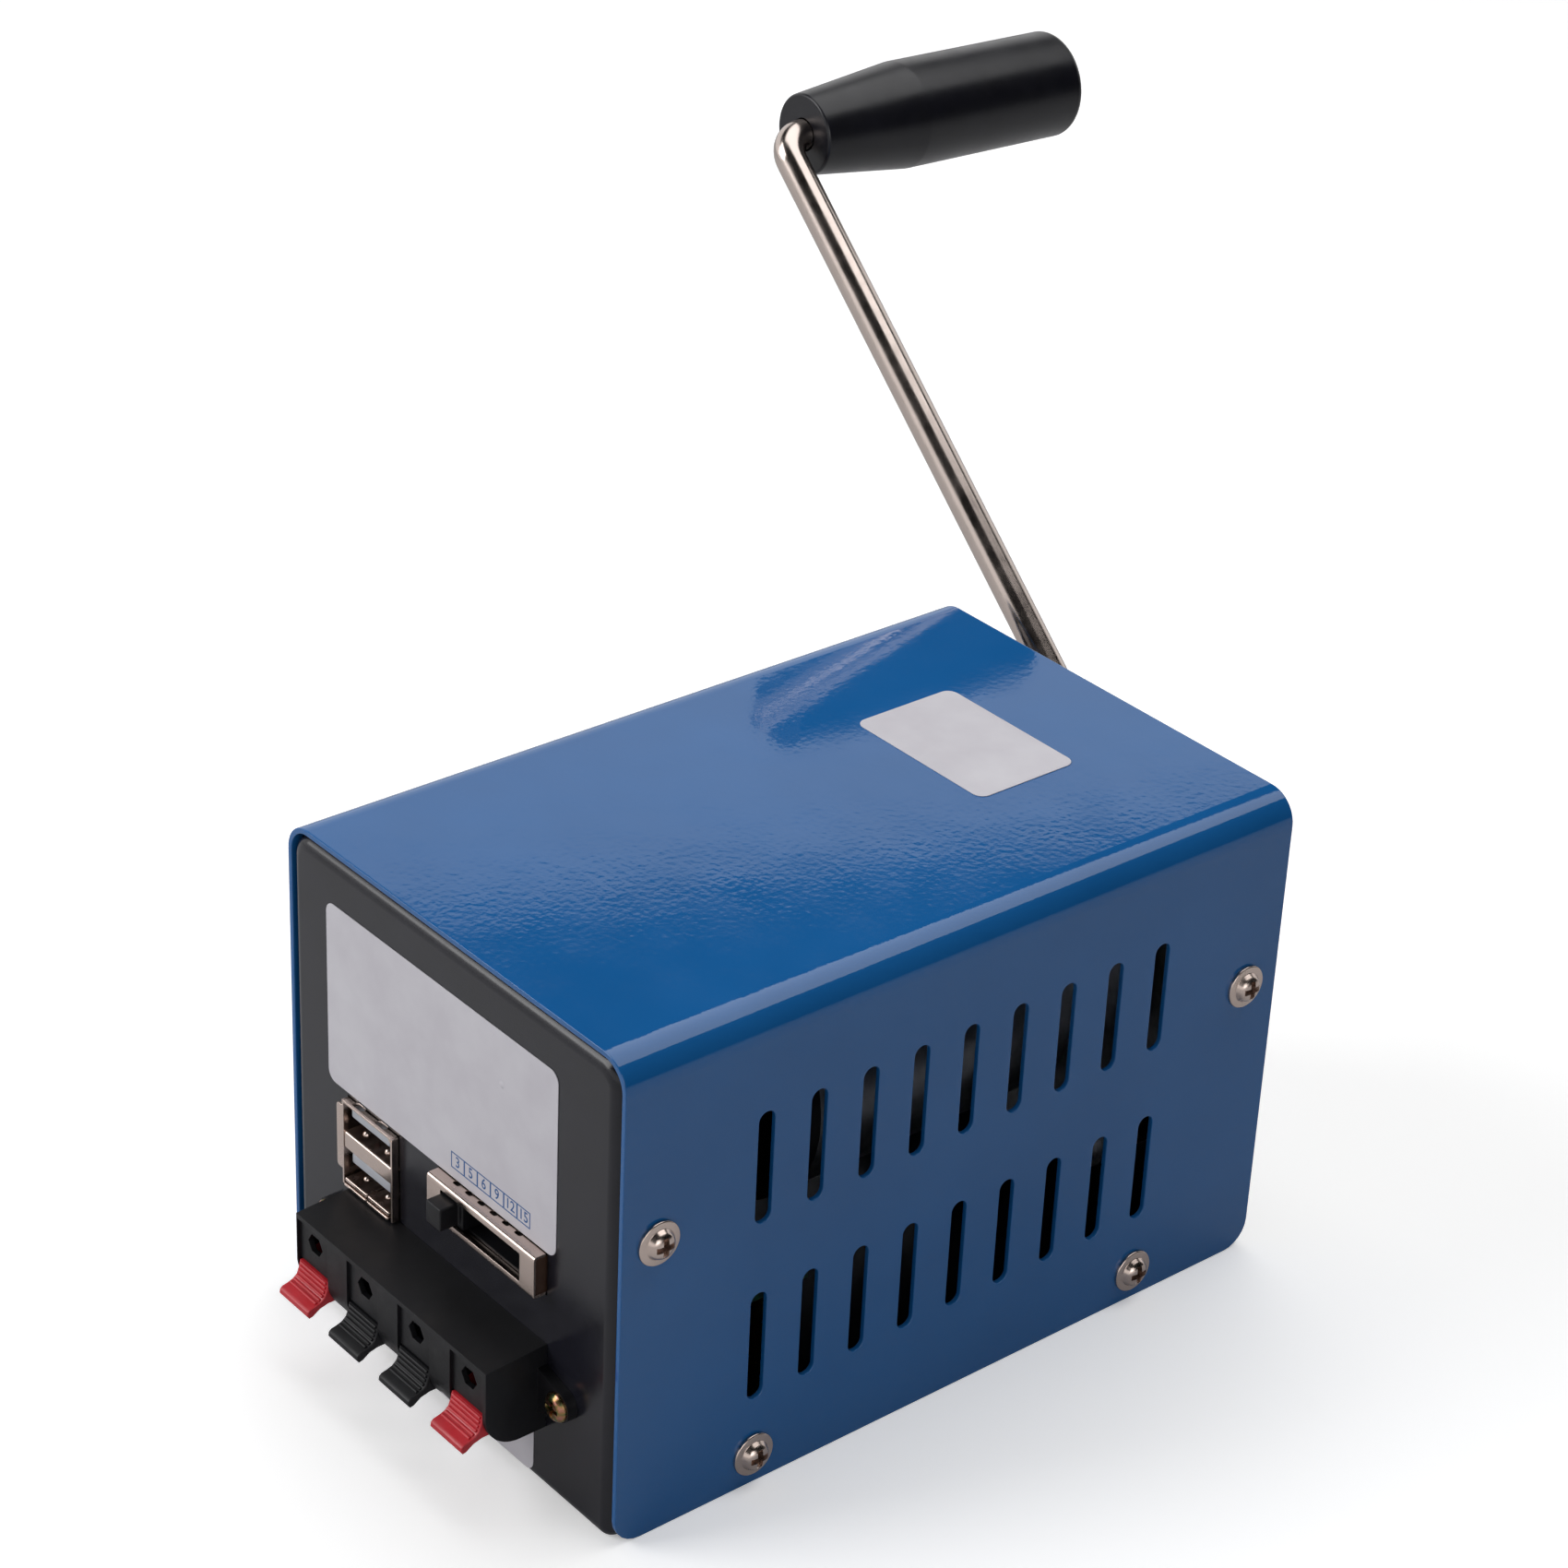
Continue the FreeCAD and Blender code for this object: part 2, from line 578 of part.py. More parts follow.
cover_inner_x = box_width / 2 - cover_sheet
cover_inner_top = box_height - cover_sheet
chassis_x = cover_inner_x - chassis_gap
chassis_top = cover_inner_top - chassis_gap
chassis_inner_x = chassis_x - chassis_sheet
panel_y = box_length / 2 - panel_setback
panel_inner_y = panel_y - chassis_sheet
crank_y = box_length / 2 + crank_offset
screw_high_y = box_length / 2 - screw_high_inset

rear_plate_back = panel_inner_y
rear_plate_front = rear_plate_back - plate_thick
front_plate_back = rear_plate_front - plate_gap
front_plate_front = front_plate_back - plate_thick

shaft_z = box_height / 2
gear_distance = gear_module * (wheel_teeth + pinion_teeth) / 2
wheel_tip = gear_module * (wheel_teeth / 2 + tooth_addendum)
intermediate_x = wheel_tip + wheel_gap - cover_inner_x
intermediate_rise = square_root(gear_distance * gear_distance - intermediate_x * intermediate_x)
intermediate_z = shaft_z + intermediate_rise

bush_back = panel_y + bush_flange_thick
bush_front = rear_plate_front - bush_inside
crank_gear_back = bush_front - axial_play
crank_gear_front = crank_gear_back - gear_width
rotor_wheel_front = front_plate_back + 2
rotor_wheel_back = rotor_wheel_front + gear_width

rotor_pinion_front = rotor_wheel_front - 0.5
rotor_pinion_back = rotor_pinion_front + pinion_width
plate_left = plate_side_gap - chassis_inner_x
plate_right = chassis_inner_x - plate_right_gap
plate_low = shaft_z - can_radius - plate_foot
plate_top = chassis_top - chassis_sheet - plate_side_gap
pillar_places = [(x, z) for x in (plate_left + pillar_inset, plate_right - pillar_inset)
                 for z in (plate_low + pillar_inset, plate_top - pillar_inset)]

can_back = front_plate_front
can_front = can_back - can_length
cap_front = can_front - cap_thick
dynamo_screw_heights = [shaft_z + side * dynamo_screw_pitch for side in (-1, 1)]

board_front = -1 * panel_inner_y + board_front_gap
board_back = cap_front - board_rear_gap
board_low = board_top - board_thick
standoff_places = [(side_x * (board_half_width - standoff_inset), y) for side_x in (-1, 1)
                   for y in (board_front + standoff_inset, board_back - standoff_inset)]
lead_places = [-1 * lead_half_gap, lead_half_gap]
lead_top = shaft_z

usb_front = -1 * panel_y - usb_proud
usb_back = usb_front + usb_depth
switch_front = -1 * panel_y - switch_proud
switch_back = switch_front + switch_depth
switch_top = switch_low + switch_height
switch_travel = switch_step * (switch_places - 1)
window_half = (switch_travel + knob_width) / 2 + slide_play

block_front = -1 * panel_y - block_depth
pivot_y = block_front + pivot_back
pivot_z = block_low + pivot_back
cavity_front = block_front + block_wall
cavity_back = -1 * panel_y - block_wall - 0.3
cavity_top = block_top_front - 1
first_cell = -1 * block_length / 2 + cell_margin
tag_low = cavity_top - tag_play - tag_thick


# ---------------------------------------------------------------- fasteners

def cut_cross(body, name, top, head_radius, depth):
    """A cross recess in a screw's head."""
    recess = new_sketch(body, "XY_Plane", name + "_recess", top)
    arm = head_radius * 0.55
    half = head_radius * 0.12
    draw_polygon(recess, (
        (arm, -half), (arm, half), (half, half), (half, arm), (-half, arm), (-half, half),
        (-arm, half), (-arm, -half), (-half, -half), (-half, -arm), (half, -arm), (half, -half),
    ))
    pocket(body, recess, name + "_cross", depth)


def make_screw(name, head_radius, head_height, bevel, shank_radius, shank_length):
    """A pan-head screw with a cross recess. It stands on z = 0 and its shank points down."""
    body = new_body(name)
    profile = new_sketch(body, "XZ_Plane", name + "_profile")
    draw_polygon(profile, (
        (0, -1 * shank_length), (shank_radius, -1 * shank_length), (shank_radius, 0), (head_radius, 0),
        (head_radius, head_height - bevel), (head_radius - bevel, head_height), (0, head_height),
    ))
    revolve(body, profile, name + "_turned")
    cut_cross(body, name, head_height, head_radius, head_height * 0.6)
    return body


def make_washer_screw():
    """A cover screw: a washer face under a smaller domed head, with a cross recess."""
    body = new_body("cover_screw")
    reach = cover_sheet + chassis_gap + chassis_sheet + 4
    head = cover_screw_washer + cover_screw_height
    profile = new_sketch(body, "XZ_Plane", "cover_screw_profile")
    draw_polygon(profile, (
        (0, -1 * reach), (cover_screw_radius, -1 * reach), (cover_screw_radius, 0),
        (cover_screw_flange, 0), (cover_screw_flange, cover_screw_washer),
        (cover_screw_dome, cover_screw_washer), (cover_screw_dome, head - 0.9),
        (cover_screw_dome - 0.9, head), (0, head),
    ))
    revolve(body, profile, "cover_screw_turned")
    cut_cross(body, "cover_screw", head, cover_screw_dome, cover_screw_height * 0.8)
    return body


side_screw_places = [(side_y * screw_high_y, screw_high_z) for side_y in (-1, 1)]
side_screw_places += [(side_y * screw_low_y, screw_low_z) for side_y in (-1, 1)]


def make_cover_screws():
    screw = make_washer_screw()
    links = []
    for index, (y, z) in enumerate(side_screw_places):
        links.append(copy_of(screw, f"cover_screw_right_{index}", "+X", box_width / 2, y, z))
        links.append(copy_of(screw, f"cover_screw_left_{index}", "-X", -1 * box_width / 2, y, z))
    sub_part("cover_screws", group("cover_screw_set", *links))


# ---------------------------------------------------------------- enclosure

def make_cover():
    """Inverted U of sheet, open at both ends, with two rows of slots in each side."""
    body = new_body("cover_body")
    outline = new_sketch(body, "XZ_Plane", "cover_outline")
    draw_rectangle(outline, (-1 * box_width / 2, box_width / 2), (0, box_height))
    pad(body, outline, "cover_block", box_length, midplane=True)
    inside = new_sketch(body, "XZ_Plane", "cover_inside")
    draw_rectangle(inside, (-1 * cover_inner_x, cover_inner_x), (-1, cover_inner_top))
    pocket(body, inside, "cover_hollow", midplane=True)
    round_edges(body, "cover_inner_bends", cover_bend - cover_sheet,
                lambda edge: runs_along(edge, 1) and near(middle(edge).z, cover_inner_top))
    round_edges(body, "cover_outer_bends", cover_bend,
                lambda edge: runs_along(edge, 1) and near(middle(edge).z, box_height))
    round_edges(body, "cover_lower_corners", cover_corner,
                lambda edge: runs_along(edge, 0) and near(middle(edge).z, 0))
    slot = new_sketch(body, "YZ_Plane", "slot_outline")
    slot_radius = slot_width / 2
    half = slot_length / 2 - slot_radius
    first_y = -1 * slot_pitch * (slot_count - 1) / 2
    draw_slot(slot, first_y, slot_row_low - half, slot_row_low + half, slot_radius)
    first = pocket(body, slot, "slot_cut", midplane=True)
    repeat(body, [first], "slot_rows", slot,
           (("H_Axis", slot_pitch, slot_count), ("V_Axis", slot_row_gap, as_size(2))))
    holes = new_sketch(body, "YZ_Plane", "cover_screw_holes")
    for y, z in side_screw_places:
        draw_circle(holes, y, z, cover_screw_radius + hole_play)
    pocket(body, holes, "cover_screw_bores", midplane=True)
    sub_part("cover", body)


def make_chassis():
    """Floor, front panel and back panel of one sheet, with flanges folded inwards."""
    body = new_body("chassis_body")
    outline = new_sketch(body, "XY_Plane", "chassis_outline")
    draw_rectangle(outline, (-1 * chassis_x, chassis_x), (-1 * panel_y, panel_y))
    pad(body, outline, "chassis_block", chassis_top)

    upper_corner = cover_bend - cover_sheet
    round_edges(body, "panel_top_corners", upper_corner,
                lambda edge: runs_along(edge, 1) and near(middle(edge).z, chassis_top))
    round_edges(body, "chassis_bends", chassis_bend,
                lambda edge: not (runs_along(edge, 1) and middle(edge).z > chassis_top.value / 2))

    hollow = new_sketch(body, "YZ_Plane", "chassis_inside")
    draw_rectangle(hollow, (-1 * panel_inner_y, panel_inner_y), (chassis_sheet, chassis_top - chassis_sheet))
    pocket(body, hollow, "chassis_hollow", chassis_inner_x * 2, midplane=True)

    side = new_sketch(body, "YZ_Plane", "chassis_side_windows")
    flange_y = panel_y - side_flange
    draw_polygon(side, (
        (-1 * floor_flange_half, floor_flange), (floor_flange_half, floor_flange),
        (floor_flange_half, chassis_sheet + 1.5), (panel_inner_y - 1.5, chassis_sheet + 1.5),
        (panel_inner_y - 1.5, flange_foot), (flange_y, flange_foot),
        (flange_y, chassis_top + 1), (-1 * flange_y, chassis_top + 1),
        (-1 * flange_y, flange_foot), (1.5 - panel_inner_y, flange_foot),
        (1.5 - panel_inner_y, chassis_sheet + 1.5), (-1 * floor_flange_half, chassis_sheet + 1.5),
    ))
    pocket(body, side, "chassis_sides_opened", midplane=True)

    top = new_sketch(body, "XY_Plane", "chassis_top_window", chassis_top - flange_relief)
    far_x = chassis_x + 1
    edge_y = panel_inner_y - 1.2
    draw_polygon(top, (
        (-far_x, -1 * edge_y), (-1 * top_flange_half, -1 * edge_y),
        (-1 * top_flange_half, top_flange - panel_y), (top_flange_half, top_flange - panel_y),
        (top_flange_half, -1 * edge_y), (far_x, -1 * edge_y),
        (far_x, edge_y), (top_flange_half, edge_y),
        (top_flange_half, panel_y - top_flange), (-1 * top_flange_half, panel_y - top_flange),
        (-1 * top_flange_half, edge_y), (-far_x, edge_y),
    ))
    pocket(body, top, "chassis_top_opened", reverse=True)

    front = new_sketch(body, "XZ_Plane", "front_panel_openings", panel_y - 2 * chassis_sheet)
    usb_low_edge = usb_low - cutout_play
    usb_top_edge = usb_low + usb_height + cutout_play
    draw_rectangle(front, (usb_x - usb_width / 2 - cutout_play, usb_x + usb_width / 2 + cutout_play),
                   (usb_low_edge, usb_top_edge))
    draw_rectangle(front,
                   (switch_x - switch_length / 2 - cutout_play, switch_x + switch_length / 2 + cutout_play),
                   (switch_low - cutout_play, switch_top + cutout_play))
    tag_half = block_length / 2 - block_wall
    draw_rectangle(front, (block_x - tag_half, block_x + tag_half), (block_low + 3, block_top_front - 1))
    for side_x in (-1, 1):
        draw_circle(front, block_x + side_x * ear_x, ear_z, terminal_screw_radius + hole_play)
    pocket(body, front, "front_panel_cut", 3 * chassis_sheet, reverse=True)

    back = new_sketch(body, "XZ_Plane", "back_panel_openings", 2 * chassis_sheet - panel_y)
    draw_circle(back, 0, shaft_z, bush_radius + hole_play)
    for x, z in pillar_places:
        draw_circle(back, x, z, plate_screw_radius + hole_play)
    pocket(body, back, "back_panel_cut", 3 * chassis_sheet)

    floor = new_sketch(body, "XY_Plane", "floor_holes")
    for x, y in standoff_places:
        draw_circle(floor, x, y, standoff_spigot + press_play)
    pocket(body, floor, "floor_cut", 2 * chassis_sheet, reverse=True)

    sides = new_sketch(body, "YZ_Plane", "chassis_screw_holes")
    for y, z in side_screw_places:
        draw_circle(sides, y, z, cover_screw_radius + hole_play)
    pocket(body, sides, "chassis_screw_bores", midplane=True)
    sub_part("chassis", body)


def make_label(name, role, u, v, plane_offset):
    """A rounded sticker on a plane, standing out from the offset by its thickness."""
    body = new_body(name + "_body")
    sketch = new_sketch(body, role, name + "_outline", plane_offset)
    draw_rectangle(sketch, u, v)
    pad(body, sketch, name + "_sheet", label_thickness)
    axis = 1 if role == "XZ_Plane" else 2
    round_edges(body, name + "_corners", label_corner, lambda edge: runs_along(edge, axis))
    sub_part(name, body)
    return body


def make_labels():
    half = front_label_width / 2
    make_label("front_label", "XZ_Plane", (front_label_x - half, front_label_x + half),
               (front_label_low, box_height - front_label_drop), panel_y)
    make_label("lower_label", "XZ_Plane", (lower_label_left, lower_label_right),
               (lower_label_low, lower_label_low + lower_label_height), panel_y)
    make_label("top_label", "XY_Plane",
               (top_label_x - top_label_width / 2, top_label_x + top_label_width / 2),
               (top_label_y - top_label_length / 2, top_label_y + top_label_length / 2), box_height)


# ---------------------------------------------------------------- USB socket

usb_port_lows = (usb_low + usb_sill, usb_low + usb_height - usb_sheet - usb_port_height)


def make_usb():
    left = usb_x - usb_width / 2
    right = usb_x + usb_width / 2
    shell = box("usb_block", (left, right), (usb_front, usb_back), (usb_low, usb_low + usb_height))
    port_left = left + usb_sheet
    port_right = right - usb_sheet
    port_back = usb_front + usb_port_depth
    mouths = [box(f"usb_mouth_{index}", (port_left, port_right), (usb_front - 1, port_back),
                  (low, low + usb_port_height)) for index, low in enumerate(usb_port_lows)]
    wing_low = usb_low + (usb_height - usb_wing_height) / 2
    wing_front = usb_front + usb_sheet
    wing = box("usb_wing", (left - usb_wing_width, left + usb_sheet / 2),
               (wing_front, wing_front + usb_sheet), (wing_low, wing_low + usb_wing_height))
    sub_part("usb_shell", cut("usb_shell_cut", fuse("usb_shell_solid", shell, wing), *mouths))

    tongues = []
    strips = []
    strip_pitch = usb_tongue_width / 4.4
    for index, low in enumerate(usb_port_lows):
        top = low + usb_port_height - usb_tongue_drop
        under = top - usb_tongue_thick
        tongue = box(f"usb_tongue_{index}", (usb_x - usb_tongue_width / 2, usb_x + usb_tongue_width / 2),
                     (usb_front + usb_tongue_setback, port_back), (under, top))
        block = box(f"usb_block_{index}", (port_left, port_right), (port_back - 2, port_back),
                    (low, low + usb_port_height))
        tongues.append(fuse(f"usb_insulator_{index}", tongue, block))
        for step in range(4):
            x = usb_x + strip_pitch * (step - 1.5)
            strips.append(box(f"usb_strip_{index}_{step}", (x - 0.5, x + 0.5),
                              (usb_front + usb_tongue_setback + 1, port_back - 2), (under - 0.25, under)))
    sub_part("usb_tongues", group("usb_tongue_set", *tongues))
    sub_part("usb_contacts", group("usb_contact_set", *strips))


# ---------------------------------------------------------------- slide switch

def make_switch():
    left = switch_x - switch_length / 2
    right = switch_x + switch_length / 2
    low_inside = switch_low + switch_sheet
    top_inside = switch_top - switch_sheet

    frame = new_body("switch_frame_body")
    outline = new_sketch(frame, "YZ_Plane", "switch_channel", left)
    draw_polygon(outline, (
        (switch_back, switch_low), (switch_back, low_inside),
        (switch_front + switch_sheet, low_inside), (switch_front + switch_sheet, top_inside),
        (switch_back, top_inside), (switch_back, switch_top),
        (switch_front, switch_top), (switch_front, switch_low),
    ))
    pad(frame, outline, "switch_channel_pad", switch_length)
    round_edges(frame, "switch_channel_bends", switch_sheet * 0.9,
                lambda edge: runs_along(edge, 0) and near(middle(edge).y, switch_front))
    window = new_sketch(frame, "XZ_Plane", "switch_window", -1 * (switch_front + 2 * switch_sheet))
    middle_z = switch_low + switch_height / 2
    draw_rectangle(window, (switch_x - window_half, switch_x + window_half),
                   (middle_z - switch_window_height / 2, middle_z + switch_window_height / 2))
    pocket(frame, window, "switch_window_cut", 4 * switch_sheet, reverse=True)
    notch = new_sketch(frame, "XY_Plane", "switch_notch", top_inside - switch_sheet)
    draw_circle(notch, switch_x - switch_travel / 2, -1 * panel_y - 0.2, switch_notch_radius)
    first = pocket(frame, notch, "switch_notch_cut", 4 * switch_sheet, reverse=True)
    repeat(frame, [first], "switch_notches", notch, (("H_Axis", switch_step, switch_places),))
    sub_part("switch_frame", frame)

    inner_front = switch_front + switch_sheet
    base = box("switch_base_block", (left + 0.3, right - 0.3), (inner_front, switch_back),
               (low_inside, top_inside))
    channel_back = inner_front + 4.5
    channel_half = window_half + carriage_side
    channel = box("switch_base_channel", (switch_x - channel_half, switch_x + channel_half),
                  (inner_front - 1, channel_back), (low_inside + channel_wall, top_inside - channel_wall))
    sub_part("switch_base", cut("switch_base_cut", base, channel))

    knob_left = switch_x - switch_travel / 2 - knob_width / 2
    stem = box("knob_stem", (knob_left, knob_left + knob_width),
               (switch_front - knob_proud, channel_back - 2),
               (middle_z - knob_height / 2, middle_z + knob_height / 2))
    carriage = box("knob_carriage",
                   (knob_left - carriage_side / 2, knob_left + knob_width + carriage_side / 2),
                   (inner_front + slide_play, channel_back - slide_play),
                   (low_inside + channel_wall + slide_play, top_inside - channel_wall - slide_play))
    sub_part("switch_knob", fuse("switch_knob_solid", stem, carriage))


# ---------------------------------------------------------------- spring terminal

def draw_block_side(sketch):
    """Side view of the terminal block: sloping top, upright front, round lower front."""
    front, back = block_front, -1 * panel_y
    corners = (
        (back, block_low), (back, block_top_back), (front, block_top_front), (front, pivot_z),
    )
    points = [Vector(u.value, v.value, 0) for u, v in corners]
    bottom = Vector(pivot_y.value, block_low.value, 0)
    for start, stop in zip(points, points[1:]):
        sketch.addGeometry(Part.LineSegment(start, stop), False)
    circle = Part.Circle(Vector(pivot_y.value, pivot_z.value, 0), Vector(0, 0, 1), pivot_back.value)
    sketch.addGeometry(Part.ArcOfCircle(circle, math.pi, 1.5 * math.pi), False)
    sketch.addGeometry(Part.LineSegment(bottom, points[0]), False)
    for first, second in ((0, 1), (1, 2)):
        sketch.addConstraint(Sketcher.Constraint("Coincident", first, 2, second, 1))
    sketch.addConstraint(Sketcher.Constraint("Coincident", 2, 2, 3, 1))
    sketch.addConstraint(Sketcher.Constraint("Coincident", 3, 2, 4, 1))
    sketch.addConstraint(Sketcher.Constraint("Coincident", 4, 2, 0, 1))
    for geometry, (u, v) in zip((0, 1, 2), corners):
        pin_point(sketch, geometry, 1, u, v)
    pin_point(sketch, 2, 2, front, pivot_z)
    pin_point(sketch, 4, 1, pivot_y, block_low)
    hold_radius(sketch, 3, pivot_back)


def make_terminal_body():
    body = new_body("terminal_block")
    side = new_sketch(body, "YZ_Plane", "block_side")
    draw_block_side(side)
    pad(body, side, "block_solid", block_length, midplane=True)

    ears = new_sketch(body, "XZ_Plane", "block_ears", panel_y)
    draw_rectangle(ears, (-1 * ear_x - ear_radius, ear_x + ear_radius),
                   (ear_z - ear_radius, ear_z + ear_radius))
    pad(body, ears, "block_ear_plate", ear_thickness)
    round_edges(body, "block_ear_ends", ear_radius * 0.98,
                lambda edge: runs_along(edge, 1) and abs(middle(edge).x) > ear_x.value)

    cavity = new_sketch(body, "YZ_Plane", "clamp_cavity", first_cell)
    draw_polygon(cavity, (
        (cavity_front, pivot_z), (cavity_front, cavity_top), (cavity_back, cavity_top),
        (cavity_back, block_low + 1.4), (pivot_y + 0.6, block_low + 1.4), (pivot_y - 0.7, block_low - 1),
        (block_front - 1, block_low - 1), (block_front - 1, pivot_z),
    ))
    cavity_cut = pocket(body, cavity, "clamp_cavity_cut", cell_width, reverse=True)

    recess = new_sketch(body, "XZ_Plane", "clamp_recess", -1 * block_front - cell_recess)
    draw_rectangle(recess, (first_cell, first_cell + cell_width), (pivot_z - 1, block_top_front - 0.9))
    recess_cut = pocket(body, recess, "clamp_recess_cut", cell_recess * 2, reverse=True)

    hole = new_sketch(body, "XZ_Plane", "wire_hole", -1 * cavity_front - 1)
    centre = first_cell + cell_width / 2
    half_w, half_h = wire_hole_width / 2, wire_hole_height / 2
    draw_polygon(hole, (
        (centre - half_w, wire_hole_z), (centre - half_w * 0.5, wire_hole_z - half_h),
        (centre + half_w * 0.5, wire_hole_z - half_h), (centre + half_w, wire_hole_z),
        (centre + half_w * 0.5, wire_hole_z + half_h), (centre - half_w * 0.5, wire_hole_z + half_h),
    ))
    hole_cut = pocket(body, hole, "wire_hole_cut", block_wall + 3, reverse=True)

    tag = new_sketch(body, "XZ_Plane", "tag_slot", panel_y - 1)
    draw_rectangle(tag, (centre - tag_half_width - tag_play, centre + tag_half_width + tag_play),
                   (tag_low - tag_play, cavity_top))
    tag_cut = pocket(body, tag, "tag_slot_cut", block_wall + 2, reverse=True)
    repeat(body, [cavity_cut, recess_cut, hole_cut, tag_cut], "clamp_row", recess,
           (("H_Axis", cell_pitch, as_size(4)),))

    bores = new_sketch(body, "YZ_Plane", "pivot_bore")
    draw_circle(bores, pivot_y, pivot_z, pivot_radius + running_play)
    pocket(body, bores, "pivot_bore_cut", block_length - 2 * block_end, midplane=True)
    screws = new_sketch(body, "XZ_Plane", "ear_holes", panel_y - 1)
    for side_x in (-1, 1):
        draw_circle(screws, side_x * ear_x, ear_z, terminal_screw_radius + hole_play)
    pocket(body, screws, "ear_holes_cut", ear_thickness + 2, reverse=True)
    place(body, block_x)
    sub_part("terminal_body", body)


def cell_centre(index):
    return block_x + first_cell + cell_width / 2 + cell_pitch * index


def make_lever(index):
    """A clamp lever: hub on the pivot rod, arm to the front, ribbed slope and thick lip."""
    body = new_body(f"lever_{index + 1}_body")
    half = cell_width / 2 - lever_play
    side = new_sketch(body, "YZ_Plane", f"lever_{index + 1}_side", -half)
    lip_y = block_front - lever_reach
    lip_z = pivot_z - lever_drop
    shelf = pivot_z - 4.3
    draw_polygon(side, (
        (block_front + 0.25, pivot_z - 0.2),
        (block_front - 0.05, pivot_z - 1.6),
        (block_front - 0.5, pivot_z - 2.8),
        (block_front - 1.3, pivot_z - 3.5),
        (block_front - 2.3, pivot_z - 3.85),
        (lip_y + 0.6, lip_z + 1.75),
        (lip_y + 0.1, lip_z + 1.3),
        (lip_y, lip_z + 0.6),
        (lip_y + 0.4, lip_z),
        (lip_y + 1.1, lip_z + 0.15),
        (lip_y + 2.5, shelf - 0.4),
        (block_front + 0.2, shelf),
        (pivot_y - 4.1, shelf),
        (pivot_y - 1.6, pivot_z - 2.1),
        (pivot_y - 1.6, pivot_z + 2.0),
        (pivot_y - 4.0, pivot_z + 1.1),
        (block_front + 2.0, pivot_z - 0.2),
    ))
    pad(body, side, f"lever_{index + 1}_arm", half * 2)
    hub = new_sketch(body, "YZ_Plane", f"lever_{index + 1}_hub", -half)
    draw_circle(hub, pivot_y, pivot_z, lever_hub)
    pad(body, hub, f"lever_{index + 1}_hub_pad", half * 2)
    bore = new_sketch(body, "YZ_Plane", f"lever_{index + 1}_bore")
    draw_circle(bore, pivot_y, pivot_z, pivot_radius + running_play)
    pocket(body, bore, f"lever_{index + 1}_bore_cut", midplane=True)
    place(body, cell_centre(index))
    sub_part(f"lever_{index + 1}", body)


def make_terminal():
    make_terminal_body()
    for index in range(4):
        make_lever(index)
    pivot_half = block_length / 2 - block_end - 0.1
    sub_part("lever_pivot_rod", rod("pivot_rod", "+X", pivot_radius, (block_x - pivot_half, pivot_y, pivot_z),
                                    pivot_half * 2))
    tags = []
    springs = []
    tag_back = -1 * panel_y + tag_reach
    for index in range(4):
        centre = cell_centre(index)
        tag = box(f"clamp_tag_{index}", (centre - tag_half_width, centre + tag_half_width),
                  (cavity_front + 0.4, tag_back), (tag_low, tag_low + tag_thick))
        pin = box(f"clamp_pin_{index}", (centre - 0.5, centre + 0.5), (tag_back - 1, tag_back),
                  (tag_low, board_low))
        tags.append(fuse(f"clamp_contact_{index}", tag, pin))
        springs.append(box(f"clamp_spring_{index}", (centre - 2, centre + 2),
                           (cavity_back - 0.6, cavity_back - 0.1), (pivot_z + 3, tag_low)))
    sub_part("terminal_contacts", group("clamp_tag_set", *tags))
    sub_part("clamp_springs", group("clamp_spring_set", *springs))

    screw = make_screw("terminal_screw", terminal_screw_head, as_size(2.1), as_size(0.9),
                       terminal_screw_radius, ear_thickness + chassis_sheet + 3)
    nut_blank = doc.addObject("Part::Prism", "terminal_nut_blank")
    nut_blank.Polygon = 6
    nut_blank.Placement = Placement(Vector(), turned_to("+Y"))
    bind(nut_blank, "Circumradius", terminal_screw_radius * 2.1)
    bind(nut_blank, "Height", terminal_screw_radius * 1.5)
    nut_hole = rod("terminal_nut_hole", "+Y", terminal_screw_radius + press_play, (0, -1, 0), as_size(5))
    nut = cut("terminal_nut", nut_blank, nut_hole)
    screws = []
    nuts = []
    for side_x in (-1, 1):
        x = block_x + side_x * ear_x
        screws.append(copy_of(screw, f"terminal_screw_{side_x + 1}", "-Y", x,
                              -1 * panel_y - ear_thickness, ear_z))
        link = doc.addObject("App::Link", f"terminal_nut_{side_x + 1}")
        link.LinkedObject = nut
        place(link, x, -1 * panel_inner_y, ear_z)
        nuts.append(link)
    sub_part("terminal_screws", group("terminal_screw_set", *screws))
    sub_part("terminal_nuts", group("terminal_nut_set", *nuts))


# ---------------------------------------------------------------- crank

rod_inside = shaft_bore_depth - 0.5
shaft_end = crank_y - rod_bend - 2.5
shaft_bore_bottom = shaft_end - shaft_bore_depth
collar_back = shaft_end
collar_front = bush_back + axial_play
grip_far = grip_start + grip_length
clip_start = grip_far - grip_pocket_depth + axial_play
rod_end = clip_start + clip_thick + 1.5


def set_on_crank(body):
    """Leans a body that was drawn with its arm upright, and sets it on the shaft axis."""
    body.Placement = Placement(Vector(), Rotation(Vector(0, -1, 0), crank_angle.value))
    bind(body, "Placement.Rotation.Angle", crank_angle)
    place(body, 0, crank_y, shaft_z)


def grip_point(distance, radius=0):
    """A place on the grip as (y, z) in the upright crank's own frame: along its axis from the
    arm's axis, and out from it."""
    distance, radius = as_size(distance), as_size(radius)
    return (distance * cosine(grip_lean) + radius * sine(grip_lean),
            crank_length - distance * sine(grip_lean) + radius * cosine(grip_lean))


